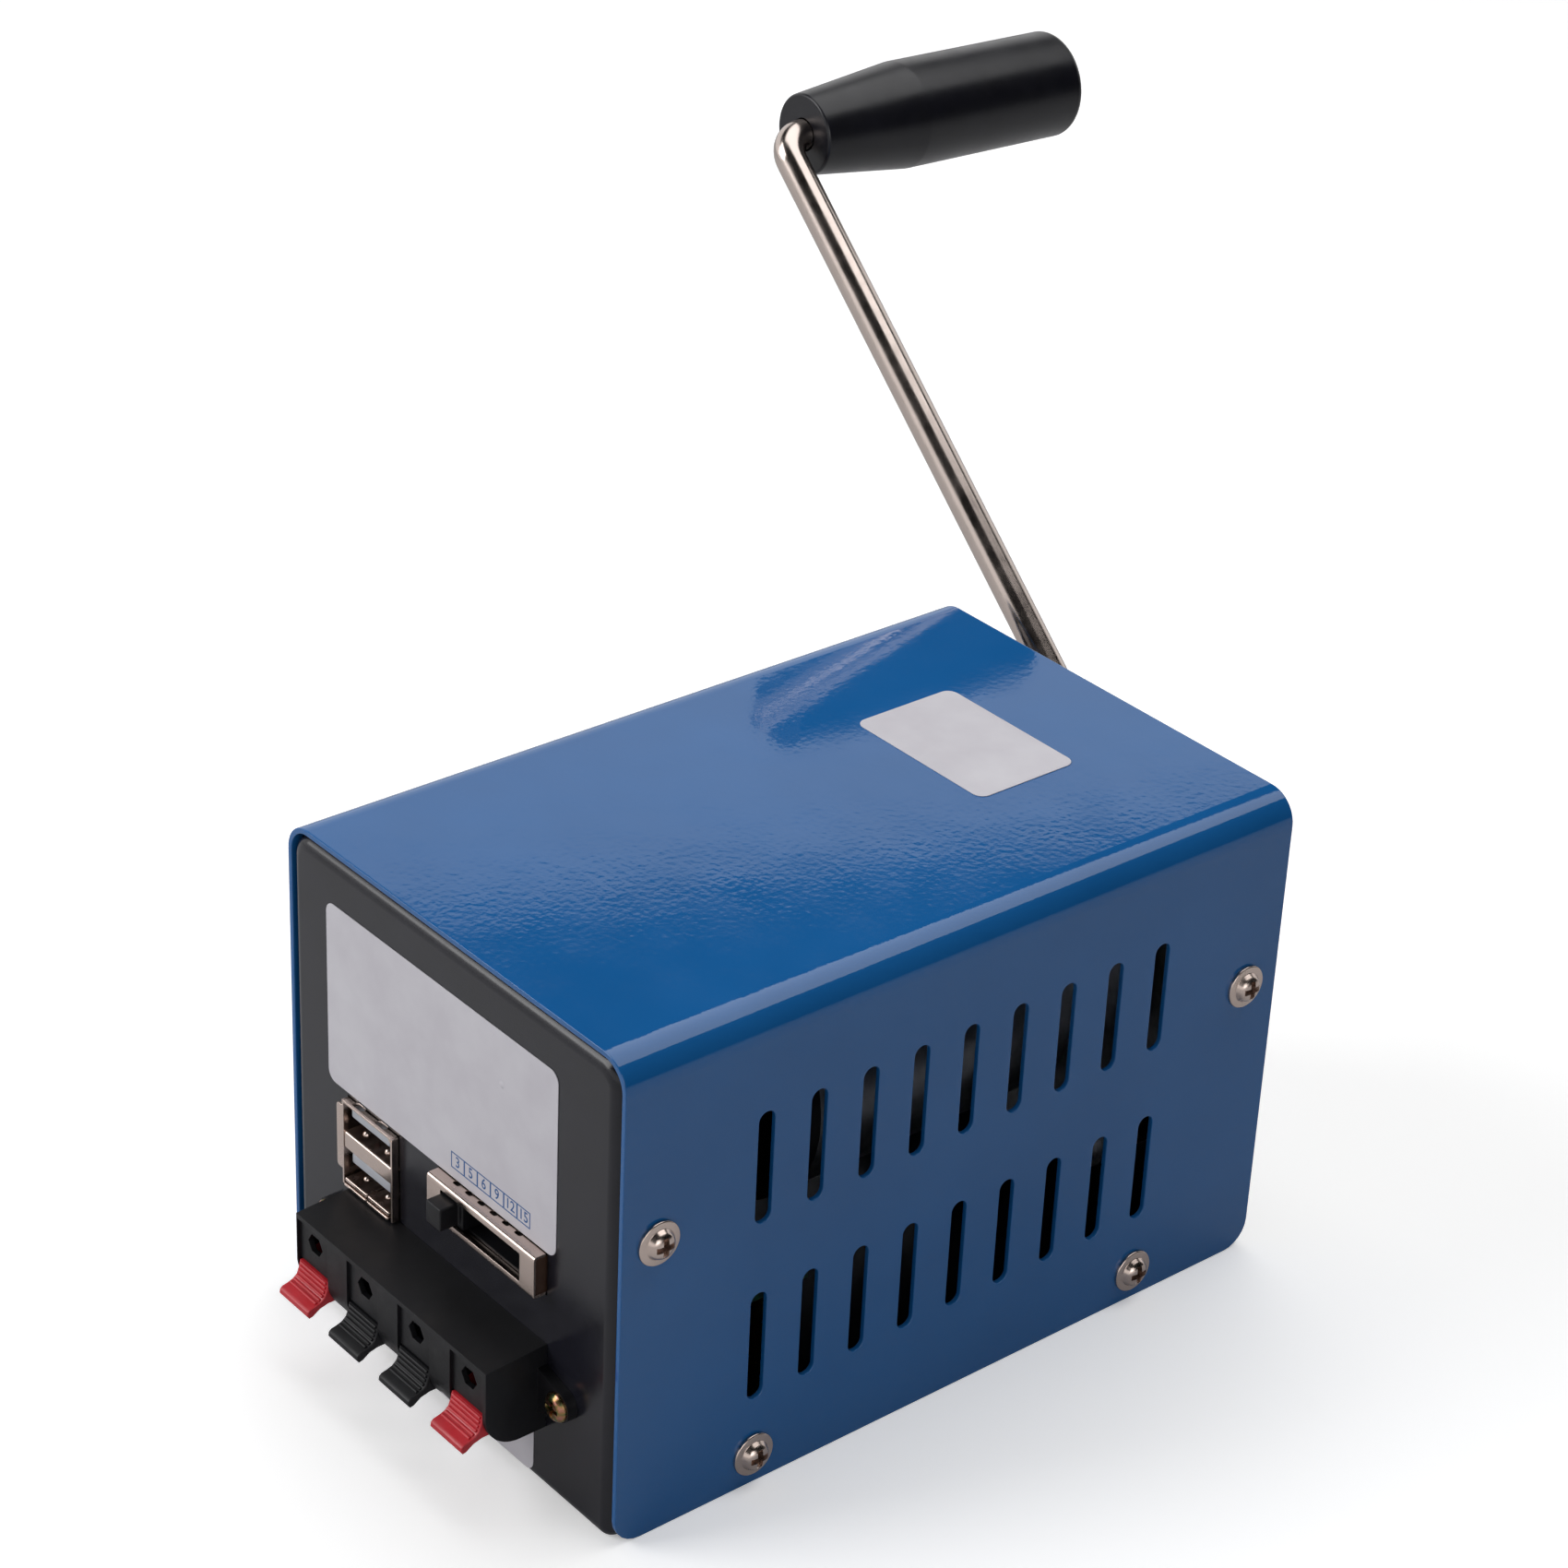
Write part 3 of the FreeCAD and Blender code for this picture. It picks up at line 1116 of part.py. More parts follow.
def make_crank_rod():
    """One round rod: out of the shaft, up the arm and along the grip, with two bends."""
    body = new_body("crank_rod_body")
    path = new_sketch(body, "YZ_Plane", "rod_path")
    start_y = shaft_end - rod_inside - crank_y
    bend = rod_bend.value
    arm_top = crank_length - rod_bend * tangent((90 + grip_lean) / 2)
    y_in, z_in = grip_point(crank_length - arm_top)
    y_end, z_end = grip_point(rod_end)
    low_centre = Vector(-bend, bend, 0)
    high_centre = Vector(bend, arm_top.value, 0)
    bend_out = Vector(y_in.value, z_in.value, 0)
    finish = math.atan2(bend_out.y - high_centre.y, bend_out.x - high_centre.x)
    for piece in (
            Part.LineSegment(Vector(start_y.value, 0, 0), Vector(-bend, 0, 0)),
            Part.ArcOfCircle(Part.Circle(low_centre, Vector(0, 0, 1), bend), 1.5 * math.pi, 2 * math.pi),
            Part.LineSegment(Vector(0, bend, 0), Vector(0, arm_top.value, 0)),
            Part.ArcOfCircle(Part.Circle(high_centre, Vector(0, 0, 1), bend), finish, math.pi),
            Part.LineSegment(bend_out, Vector(y_end.value, z_end.value, 0))):
        path.addGeometry(piece, False)
    for first, first_end, second, second_end in ((0, 2, 1, 1), (1, 2, 2, 1), (2, 2, 3, 2), (3, 1, 4, 1)):
        path.addConstraint(Sketcher.Constraint("Tangent", first, first_end, second, second_end))
    path.addConstraint(Sketcher.Constraint("Vertical", 2))
    pin_point(path, 0, 1, start_y, 0)
    pin_point(path, 1, 3, -1 * rod_bend, rod_bend)
    hold_radius(path, 3, rod_bend)
    pin_point(path, 4, 2, y_end, z_end)
    section = new_sketch(body, "XZ_Plane", "rod_section", -1 * start_y)
    draw_circle(section, 0, 0, rod_radius)
    doc.recompute()
    pipe = body.newObject("PartDesign::AdditivePipe", "rod_sweep")
    pipe.Profile = section
    pipe.Spine = path
    set_on_crank(body)
    sub_part("crank_rod", body)


def turn_on_grip_axis(name, corners):
    """A piece turned about the grip's leaning axis, from corners (along the axis, out from it)."""
    body = new_body(name + "_body")
    profile = new_sketch(body, "YZ_Plane", name + "_profile")
    draw_polygon(profile, [grip_point(distance, radius) for distance, radius in corners])
    ends = [grip_point(0), grip_point(grip_far)]
    axis = Part.LineSegment(*[Vector(u.value, v.value, 0) for u, v in ends])
    geometry = profile.addGeometry(axis, True)
    for position, (u, v) in zip((1, 2), ends):
        pin_point(profile, geometry, position, u, v)
    feature = body.newObject("PartDesign::Revolution", name + "_turned")
    feature.Profile = profile
    feature.ReferenceAxis = (profile, ["Axis0"])
    feature.Angle = 360
    set_on_crank(body)
    sub_part(name, body)
    return body


def is_grip_circle(edge, distance, radius):
    """True for the circle at a distance along the grip's axis with a given radius."""
    if edge.Curve.TypeId != "Part::GeomCircle":
        return False
    y, z = grip_point(distance)
    centre = edge.Curve.Center
    return near(edge.Curve.Radius, radius) and near(centre.y, y) and near(centre.z, z)


def make_grip():
    bore = rod_radius + running_play
    pocket_floor = grip_far - grip_pocket_depth
    grip = turn_on_grip_axis("grip", (
        (grip_start, bore), (grip_start, grip_small_radius), (grip_start + grip_cone, grip_radius),
        (grip_far, grip_radius), (grip_far, grip_pocket_radius), (pocket_floor, grip_pocket_radius),
        (pocket_floor, bore),
    ))
    round_edges(grip, "grip_far_edge", grip_round, lambda edge: is_grip_circle(edge, grip_far, grip_radius))
    round_edges(grip, "grip_near_edge", grip_near_round,
                lambda edge: is_grip_circle(edge, grip_start, grip_small_radius))
    turn_on_grip_axis("grip_cap", (
        (grip_far - grip_cap_thick, 0), (grip_far - grip_cap_thick, grip_pocket_radius),
        (grip_far, grip_pocket_radius), (grip_far, 0),
    ))
    turn_on_grip_axis("grip_clip", (
        (clip_start, rod_radius + press_play), (clip_start, clip_radius),
        (clip_start + clip_thick, clip_radius), (clip_start + clip_thick, rod_radius + press_play),
    ))


def set_screw_rods(name, radius, start, length):
    """The hub's two set screws, or their tapped holes: one from above, one from the left."""
    middle_y = (collar_front + collar_back) / 2
    return [rod(name + "_above", "+Z", radius, (0, middle_y, shaft_z + start), length),
            rod(name + "_left", "-X", radius, (-1 * start, middle_y, shaft_z), length)]


def make_crank_shaft():
    solid = along_y("shaft_blank", shaft_radius, 0, shaft_z, crank_gear_front - 1, shaft_end)
    bore = along_y("shaft_bore", rod_radius + press_play, 0, shaft_z, shaft_bore_bottom, shaft_end + 1)
    tap_radius = set_screw_radius + press_play
    taps = set_screw_rods("shaft_tap", tap_radius, as_size(0), shaft_radius + 1)
    sub_part("crank_shaft", cut("shaft_solid", solid, bore, *taps))
    collar = along_y("collar_blank", collar_radius, 0, shaft_z, collar_front, collar_back)
    collar_bore = along_y("collar_bore", shaft_radius + press_play, 0, shaft_z,
                          collar_front - 1, collar_back + 1)
    taps = set_screw_rods("collar_tap", tap_radius, as_size(0), collar_radius + 1)
    sub_part("hub_collar", cut("collar_solid", collar, collar_bore, *taps))
    start = rod_radius + press_play
    screws = set_screw_rods("set_screw", set_screw_radius, start, collar_radius - start - 0.5)
    sub_part("hub_set_screws", group("set_screw_set", *screws))


# ---------------------------------------------------------------- gear train

def make_gear(name, teeth, low, high, x, z, bore, tooth_direction):
    """A spur gear about Y. One tooth's centre points in tooth_direction, in degrees from +X
    towards +Z. Its flanks are arcs through three points of the true involute."""
    modul = gear_module.value
    pitch = teeth * modul / 2
    base = pitch * math.cos(math.radians(pressure_angle.value))
    tip = pitch + tooth_addendum.value * modul
    root = pitch - tooth_dedendum.value * modul
    half_tooth = math.pi / (2 * teeth) - tooth_play.value / (4 * pitch)

    def involute(radius):
        angle = math.acos(base / max(radius, base))
        return math.tan(angle) - angle

    def half_angle(radius):
        return half_tooth + involute(pitch) - involute(radius)

    def point(radius, angle):
        return Vector(radius * math.cos(angle), 0, radius * math.sin(angle))

    flank_low = max(base, root + 0.05)
    flank = (flank_low, (flank_low + tip) / 2, tip)
    step = 2 * math.pi / teeth
    edges = []
    for tooth in range(teeth):
        centre = math.radians(tooth_direction) + tooth * step
        rising = [point(radius, centre - half_angle(radius)) for radius in flank]
        falling = [point(radius, centre + half_angle(radius)) for radius in reversed(flank)]
        next_low = point(flank_low, centre + step - half_angle(flank_low))
        root_out = point(root, centre + half_angle(flank_low))
        root_in = point(root, centre + step - half_angle(flank_low))
        edges.append(Part.Arc(*rising).toShape())
        edges.append(Part.Arc(rising[2], point(tip, centre), falling[0]).toShape())
        edges.append(Part.Arc(*falling).toShape())
        edges.append(Part.makeLine(falling[2], root_out))
        edges.append(Part.Arc(root_out, point(root, centre + step / 2), root_in).toShape())
        edges.append(Part.makeLine(root_in, next_low))
    width = high.value - low.value
    solid = Part.Face(Part.Wire(edges)).extrude(Vector(0, width, 0))
    drill = Part.makeCylinder(bore.value, width + 2, Vector(0, -1, 0), Vector(0, 1, 0))
    gear = doc.addObject("Part::Feature", name + "_gear")
    gear.Shape = solid.cut(drill)
    gear.Placement = Placement(Vector(x.value, low.value, z.value), Rotation())
    sub_part(name, gear)


def make_gears():
    """Two equal stages on two axes: shaft to intermediate, and back to the rotor."""
    large = int(wheel_teeth.value)
    small = int(pinion_teeth.value)
    towards = math.degrees(math.atan2(intermediate_rise.value, intermediate_x.value))
    back = towards + 180
    half_tooth = 180 / small
    arbor_bore = arbor_radius + running_play
    make_gear("crank_gear", large, crank_gear_front, crank_gear_back, as_size(0), shaft_z,
              shaft_radius + press_play, towards)
    make_gear("intermediate_pinion", small, rotor_wheel_back, crank_gear_back + 0.5,
              intermediate_x, intermediate_z, arbor_bore, back + half_tooth)
    make_gear("intermediate_wheel", large, rotor_wheel_front, rotor_wheel_back,
              intermediate_x, intermediate_z, arbor_bore, back)
    make_gear("rotor_pinion", small, rotor_pinion_front, rotor_pinion_back,
              as_size(0), shaft_z, rotor_shaft_radius + press_play, towards + half_tooth)
    sub_part("intermediate_arbor", along_y("arbor", arbor_radius, intermediate_x, intermediate_z,
                                           front_plate_front, rear_plate_back))


def make_plate(name, back, centre_bore, with_dynamo_holes):
    """A gearbox plate with its back face at a given place."""
    body = new_body(name + "_body")
    outline = new_sketch(body, "XZ_Plane", name + "_outline", -1 * back)
    draw_rectangle(outline, (plate_left, plate_right), (plate_low, plate_top))
    pad(body, outline, name + "_sheet", plate_thick)
    round_edges(body, name + "_corners", plate_corner, lambda edge: runs_along(edge, 1))
    holes = new_sketch(body, "XZ_Plane", name + "_holes", plate_thick / 2 - back)
    draw_circle(holes, 0, shaft_z, centre_bore + press_play)
    draw_circle(holes, intermediate_x, intermediate_z, arbor_radius + press_play)
    for x, z in pillar_places:
        draw_circle(holes, x, z, plate_screw_radius + hole_play)
    if with_dynamo_holes:
        for z in dynamo_screw_heights:
            draw_circle(holes, 0, z, plate_screw_radius + hole_play)
    pocket(body, holes, name + "_bores", midplane=True)
    sub_part(name, body)


def make_gearbox():
    make_plate("gearbox_rear_plate", rear_plate_back, bush_radius, False)
    make_plate("gearbox_front_plate", front_plate_back, rotor_bush_radius, True)

    pillars = []
    screws = []
    screw = make_screw("plate_screw", plate_screw_head, as_size(1.9), as_size(0.7),
                       plate_screw_radius, plate_screw_length)
    for index, (x, z) in enumerate(pillar_places):
        blank = along_y(f"pillar_blank_{index}", pillar_radius, x, z, front_plate_back, rear_plate_front)
        hole = along_y(f"pillar_hole_{index}", plate_screw_radius + press_play, x, z,
                       front_plate_back - 1, rear_plate_front + 1)
        pillars.append(cut(f"pillar_{index}", blank, hole))
        screws.append(copy_of(screw, f"plate_screw_back_{index}", "+Y", x, panel_y, z))
        screws.append(copy_of(screw, f"plate_screw_front_{index}", "-Y", x, front_plate_front, z))
    sub_part("gearbox_pillars", group("pillar_set", *pillars))
    sub_part("gearbox_screws", group("plate_screw_set", *screws))

    sleeve = along_y("bush_sleeve", bush_radius, 0, shaft_z, bush_front, bush_back)
    flange = along_y("bush_flange", bush_flange_radius, 0, shaft_z, panel_y, bush_back)
    bore = along_y("bush_bore", shaft_radius + running_play, 0, shaft_z, bush_front - 1, bush_back + 1)
    sub_part("panel_bush", cut("bush_solid", fuse("bush_blank", sleeve, flange), bore))


# ---------------------------------------------------------------- dynamo

can_inner = can_radius - can_wall
magnet_outer = can_inner - press_play
magnet_inner = magnet_outer - magnet_thick
core_radius = magnet_inner - air_gap
magnet_back = can_back - 6
magnet_front = magnet_back - magnet_length
core_middle = (magnet_back + magnet_front) / 2
core_back = core_middle + core_length / 2
commutator_front = can_front + 1.5
commutator_back = commutator_front + commutator_length


def ring(name, outer, inner, low, high):
    """A tube about the shaft axis."""
    return cut(name, along_y(name + "_outer", outer, 0, shaft_z, low, high),
               along_y(name + "_inner", inner, 0, shaft_z, low - 1, high + 1))


def span(centre, side, close, far):
    """The two limits of a piece that lies from close to far on one side of a centre."""
    limits = (centre + side * close, centre + side * far)
    return limits if side > 0 else limits[::-1]


def make_dynamo_case():
    shell = along_y("can_shell", can_radius, 0, shaft_z, can_front, can_back)
    inside = along_y("can_inside", can_inner, 0, shaft_z, can_front - 1, can_back - can_end)
    seat_radius = rotor_bush_radius + press_play
    seat = along_y("can_bush_seat", seat_radius, 0, shaft_z, can_back - can_end - 1, can_back + 1)
    taps = [along_y(f"can_tap_{index}", plate_screw_radius + press_play, 0, z,
                    can_back - can_end - 1, can_back + 1) for index, z in enumerate(dynamo_screw_heights)]
    sub_part("generator_can", cut("can_solid", shell, inside, seat, *taps))

    disc = along_y("cap_disc", can_radius, 0, shaft_z, cap_front, can_front)
    boss = along_y("cap_boss", rotor_bush_radius + 2, 0, shaft_z, cap_front - 3, can_front)
    cap_seat = along_y("cap_bush_seat", seat_radius, 0, shaft_z, cap_front - 2, can_front + 1)
    passage = along_y("cap_passage", rotor_shaft_radius + 0.5, 0, shaft_z, cap_front - 4, can_front)
    lugs = [box(f"cap_terminal_{index}", (x - lead_lug, x + lead_lug), (cap_front - 1, cap_front),
                (lead_top - lead_lug, lead_top + lead_lug)) for index, x in enumerate(lead_places)]
    sub_part("generator_cap", cut("cap_solid", fuse("cap_blank", disc, boss, *lugs), cap_seat, passage))

    magnets = []
    for side in (-1, 1):
        tube = ring(f"magnet_tube_{side + 1}", magnet_outer, magnet_inner, magnet_front, magnet_back)
        half_height = can_inner * 0.72
        keep = box(f"magnet_keep_{side + 1}", span(as_size(0), side, as_size(1), can_radius),
                   (magnet_front - 1, magnet_back + 1), (shaft_z - half_height, shaft_z + half_height))
        magnet = doc.addObject("Part::Common", f"magnet_{side + 1}")
        magnet.Base = tube
        magnet.Tool = keep
        magnets.append(magnet)
    sub_part("generator_magnets", group("magnet_set", *magnets))

    bore = rotor_shaft_radius + running_play
    bushes = [ring("bush_gear_side", rotor_bush_radius, bore,
                   can_back - can_end - 1.5, front_plate_back - 0.5),
              ring("bush_cap_side", rotor_bush_radius, bore, cap_front - 2, can_front - 0.5)]
    sub_part("generator_bushes", group("bush_set", *bushes))

    brush_back = (commutator_front + commutator_back) / 2 + 2.5
    brushes = [box(f"brush_{side + 1}", (-2, 2), (can_front, brush_back),
                   span(shaft_z, side, commutator_radius + running_play, commutator_radius + 6))
               for side in (-1, 1)]
    sub_part("generator_brushes", group("brush_set", *brushes))

    screw = make_screw("dynamo_screw", plate_screw_head, as_size(1.2), as_size(0.4),
                       plate_screw_radius, plate_thick + can_end)
    screws = [copy_of(screw, f"dynamo_screw_{index}", "+Y", 0, front_plate_back, z)
              for index, z in enumerate(dynamo_screw_heights)]
    sub_part("generator_screws", group("dynamo_screw_set", *screws))


def repeat_round(body, features, name, count):
    """Repeats features round the body's own Y axis."""
    axes = {item.Role: item for item in body.Origin.OriginFeatures}
    pattern = body.newObject("PartDesign::PolarPattern", name)
    pattern.Originals = features
    pattern.Axis = (axes["Y_Axis"], [""])
    pattern.Angle = 360
    bind(pattern, "Occurrences", count)
    body.Tip = pattern


def make_rotor():
    """Shaft, slotted core, windings and commutator. Each body is drawn about its own Y axis."""
    sub_part("rotor_shaft", along_y("rotor_rod", rotor_shaft_radius, 0, shaft_z, cap_front - 1.5,
                                    rotor_pinion_back + 0.5))
    on_shaft = rotor_shaft_radius + press_play
    half = rotor_slot_width / 2
    slot_floor = core_radius * 0.45
    slot_top = core_radius * 0.88

    core = new_body("rotor_core_body")
    disc = new_sketch(core, "XZ_Plane", "core_disc", -1 * core_back)
    draw_circle(disc, 0, 0, core_radius)
    draw_circle(disc, 0, 0, on_shaft)
    pad(core, disc, "core_stack", core_length)
    slot = new_sketch(core, "XZ_Plane", "core_slot", -1 * core_middle)
    draw_rectangle(slot, (-half, half), (slot_floor, slot_top))
    slot_cut = pocket(core, slot, "core_slot_cut", midplane=True)
    mouth = new_sketch(core, "XZ_Plane", "core_mouth", -1 * core_middle)
    draw_rectangle(mouth, (-0.6, 0.6), (slot_top - 1, core_radius + 1))
    mouth_cut = pocket(core, mouth, "core_mouth_cut", midplane=True)
    repeat_round(core, [slot_cut, mouth_cut], "core_slots", rotor_slots)
    place(core, 0, 0, shaft_z)
    sub_part("rotor_core", core)

    coils = new_body("rotor_windings_body")
    bar = new_sketch(coils, "XZ_Plane", "coil_bar", -1 * core_middle)
    draw_rectangle(bar, (0.2 - half, half - 0.2), (slot_floor + 0.2, slot_top - 0.2))
    bar_pad = pad(coils, bar, "coil_bar_pad", core_length + 2 * winding_overhang, midplane=True)
    repeat_round(coils, [bar_pad], "coil_bars", rotor_slots)
    for side in (-1, 1):
        low, high = span(core_middle, side, core_length / 2 + 0.3, core_length / 2 + winding_overhang)
        head = new_sketch(coils, "XZ_Plane", f"coil_head_{side + 1}", -1 * high)
        draw_circle(head, 0, 0, slot_top - 0.2)
        draw_circle(head, 0, 0, slot_floor + 0.2)
        pad(coils, head, f"coil_head_pad_{side + 1}", high - low)
    place(coils, 0, 0, shaft_z)
    sub_part("rotor_windings", coils)

    sub_part("commutator", ring("commutator_ring", commutator_radius, on_shaft,
                                commutator_front, commutator_back))


# ---------------------------------------------------------------- boards

def make_boards():
    half = board_half_width
    board = new_body("main_board_body")
    outline = new_sketch(board, "XY_Plane", "main_board_outline", board_low)
    draw_rectangle(outline, (-1 * half, half), (board_front, board_back))
    pad(board, outline, "main_board_sheet", board_thick)
    holes = new_sketch(board, "XY_Plane", "main_board_holes", board_low)
    for x, y in standoff_places:
        draw_circle(holes, x, y, board_screw_radius + hole_play)
    pocket(board, holes, "main_board_bores", midplane=True)
    sub_part("main_board", board)

    screw = make_screw("board_screw", board_screw_head, as_size(1.8), as_size(0.6),
                       board_screw_radius, board_thick + 5)
    standoffs = []
    screws = []
    for index, (x, y) in enumerate(standoff_places):
        post = rod(f"standoff_post_{index}", "+Z", standoff_radius, (x, y, chassis_sheet),
                   board_low - chassis_sheet)
        spigot = rod(f"standoff_spigot_{index}", "+Z", standoff_spigot, (x, y, 0.2), chassis_sheet)
        hole = rod(f"standoff_hole_{index}", "+Z", board_screw_radius + press_play, (x, y, board_low - 8),
                   as_size(10))
        standoffs.append(cut(f"standoff_{index}", fuse(f"standoff_blank_{index}", post, spigot), hole))
        screws.append(copy_of(screw, f"board_screw_{index}", "+Z", x, y, board_top))
    sub_part("board_standoffs", group("standoff_set", *standoffs))
    sub_part("board_screws", group("board_screw_set", *screws))

    sub_part("switch_board", box("switch_board_sheet",
                                 (switch_x - switch_board_half, switch_x + switch_board_half),
                                 (switch_back, switch_back + board_thick), (board_top, switch_board_top)))

    row_y = board_back - part_row
    outer_x = half - capacitor_inset
    capacitors = [rod(f"capacitor_{index}", "+Z", capacitor_radius, (x, row_y, board_top), capacitor_height)
                  for index, x in enumerate((outer_x, outer_x - capacitor_pitch))]
    sub_part("filter_capacitors", group("capacitor_set", *capacitors))
    coil = rod("inductor_outer", "+Z", inductor_radius, (0, row_y, board_top), inductor_height)
    coil_hole = rod("inductor_inner", "+Z", inductor_bore, (0, row_y, board_top - 1), inductor_height + 2)
    sub_part("inductor", cut("inductor_ring", coil, coil_hole))


def make_leg(name, x, y, top):
    """One leg, square in section, from the main board up to a given height."""
    half = pin_width / 2
    return box(name, (x - half, x + half), (y - half, y + half), (board_top, top))


def make_rectifier():
    back = board_back - part_inset
    front = back - rectifier_thick
    base = board_top + part_lift
    half = rectifier_width / 2
    block = box("rectifier_block", (-1 * half, half), (front, back), (base, base + rectifier_height))
    legs = [make_leg(f"rectifier_leg_{index}", half * share, (front + back) / 2, base + 1)
            for index, share in enumerate((-0.75, -0.25, 0.25, 0.75))]
    sub_part("rectifier", fuse("rectifier_solid", block, *legs))


def make_heat_sink():
    """A finned sink behind the USB socket, with the regulator on its wall."""
    left = usb_x - sink_width / 2
    right = usb_x + sink_width / 2
    back = board_back - regulator_depth - 0.5
    front = back - sink_depth
    heights = (board_top, board_top + sink_height)
    wall = box("sink_wall_sheet", (left, right), (back - sink_wall, back), heights)
    pitch = (sink_width - fin_thick) / (fin_count - 1)
    fins = [box(f"sink_fin_{index}", (left + pitch * index, left + pitch * index + fin_thick),
                (front, back - sink_wall / 2), heights) for index in range(int(fin_count.value))]
    sub_part("heat_sink", fuse("heat_sink_solid", wall, *fins))

    base = board_top + part_lift
    sides = (usb_x - regulator_width / 2, usb_x + regulator_width / 2)
    tab = box("regulator_tab_sheet", sides, (back, back + regulator_tab), (base, base + tab_height))
    package = box("regulator_package", sides, (back + regulator_tab, back + regulator_depth),
                  (base, base + regulator_height))
    leg_y = back + (regulator_tab + regulator_depth) / 2
    legs = [make_leg(f"regulator_leg_{index}", usb_x + leg_pitch * place_number, leg_y, base + 0.5)
            for index, place_number in enumerate((-1, 0, 1))]
    sub_part("regulator", fuse("regulator_solid", tab, package, *legs))


def make_leads():
    """Two leads from the dynamo's cap to the main board, each two runs and one tangent arc."""
    leads = doc.addObject("Part::Feature", "lead_pair")
    start_y = cap_front.value - 1
    runs = (lead_reach.value, lead_top.value - board_top.value)
    bend = 0.45 * min(runs)
    middle_y = start_y - lead_reach.value
    top = lead_top.value
    tubes = []
    for place_x in lead_places:
        x = place_x.value
        start = Vector(x, start_y, top)
        enter = Vector(x, middle_y + bend, top)
        leave = Vector(x, middle_y, top - bend)
        corner = Vector(x, middle_y + bend * (1 - math.sqrt(0.5)), top - bend * (1 - math.sqrt(0.5)))
        route = Part.Wire([
            Part.LineSegment(start, enter).toShape(),
            Part.Arc(enter, corner, leave).toShape(),
            Part.LineSegment(leave, Vector(x, middle_y, board_top.value)).toShape(),
        ])
        section = Part.Wire(Part.makeCircle(lead_radius.value, start, Vector(0, -1, 0)))
        tubes.append(route.makePipeShell([section], True, False))
        expected = math.pi * lead_radius.value ** 2 * route.Length
        print(f"lead radius {bend:.2f}, volume over section times length {tubes[-1].Volume / expected:.4f}")
    leads.Shape = Part.makeCompound(tubes)
    leads.Placement = Placement()
    sub_part("generator_leads", leads)


# ---------------------------------------------------------------- the whole generator

make_cover()
make_cover_screws()
make_chassis()
make_labels()
make_usb()
make_switch()
make_terminal()
make_crank_rod()
make_grip()
make_crank_shaft()
make_gears()
make_gearbox()
make_dynamo_case()
make_rotor()
make_boards()
make_rectifier()
make_heat_sink()
make_leads()

doc.recompute()
faults = [item.Name for item in doc.Objects if {"Invalid", "Error"} & set(item.State)]
for piece in sub_parts:
    shape = piece.Shape
    if shape.isNull() or not shape.isValid() or not shape.Solids:
        faults.append(piece.Label)
if faults:
    raise RuntimeError("failed: " + ", ".join(faults))
for piece in sub_parts:
    piece.Shape.exportStep(f"parts/{piece.Label}.step")
print(f"{len(sub_parts)} pieces written")
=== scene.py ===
import json
import math

import bmesh
import bpy
from mathutils import Matrix, Vector

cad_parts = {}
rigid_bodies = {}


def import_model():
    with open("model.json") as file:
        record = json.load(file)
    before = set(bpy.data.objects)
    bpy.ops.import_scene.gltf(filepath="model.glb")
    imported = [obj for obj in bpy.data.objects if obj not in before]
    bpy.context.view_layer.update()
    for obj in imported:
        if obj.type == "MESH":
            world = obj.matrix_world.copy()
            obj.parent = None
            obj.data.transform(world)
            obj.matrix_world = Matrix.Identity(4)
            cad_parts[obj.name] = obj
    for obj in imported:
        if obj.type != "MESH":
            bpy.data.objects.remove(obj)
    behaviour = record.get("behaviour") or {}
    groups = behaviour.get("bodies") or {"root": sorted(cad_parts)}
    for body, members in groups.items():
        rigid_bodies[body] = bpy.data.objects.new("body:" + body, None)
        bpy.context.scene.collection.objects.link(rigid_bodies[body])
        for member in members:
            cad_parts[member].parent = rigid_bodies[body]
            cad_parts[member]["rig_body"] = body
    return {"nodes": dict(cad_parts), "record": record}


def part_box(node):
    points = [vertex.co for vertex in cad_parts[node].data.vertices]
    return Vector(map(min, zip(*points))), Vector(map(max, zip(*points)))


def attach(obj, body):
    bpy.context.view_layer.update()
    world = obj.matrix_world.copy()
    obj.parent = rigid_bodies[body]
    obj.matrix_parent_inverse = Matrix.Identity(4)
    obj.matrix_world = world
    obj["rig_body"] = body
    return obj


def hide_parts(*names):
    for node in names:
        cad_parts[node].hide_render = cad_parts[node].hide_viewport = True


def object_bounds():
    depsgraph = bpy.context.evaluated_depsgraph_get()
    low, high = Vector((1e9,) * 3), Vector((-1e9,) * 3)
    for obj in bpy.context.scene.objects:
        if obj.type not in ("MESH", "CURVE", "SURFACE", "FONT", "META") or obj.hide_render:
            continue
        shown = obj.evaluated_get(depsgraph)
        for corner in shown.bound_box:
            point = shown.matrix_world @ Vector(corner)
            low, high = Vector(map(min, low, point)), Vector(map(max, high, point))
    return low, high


# Hand crank generator: a blue folded cover on a charcoal chassis, a front panel with a double
# USB socket, a slide switch and a spring terminal, and a bent crank rod with a turning grip.
# Metres. +X runs to the right along the front panel, +Y towards the crank, +Z up.

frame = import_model()
cad_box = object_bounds()
nodes = frame["nodes"]
collection = bpy.context.scene.collection
MM = 0.001


# ---------------------------------------------------------------- colours and shader nodes

def linear(code):
    """An sRGB hex colour as the linear values that a shader takes."""
    channels = [int(code[i:i + 2], 16) / 255 for i in (1, 3, 5)]
    return tuple(c / 12.92 if c <= 0.04045 else ((c + 0.055) / 1.055) ** 2.4
                 for c in channels) + (1.0,)


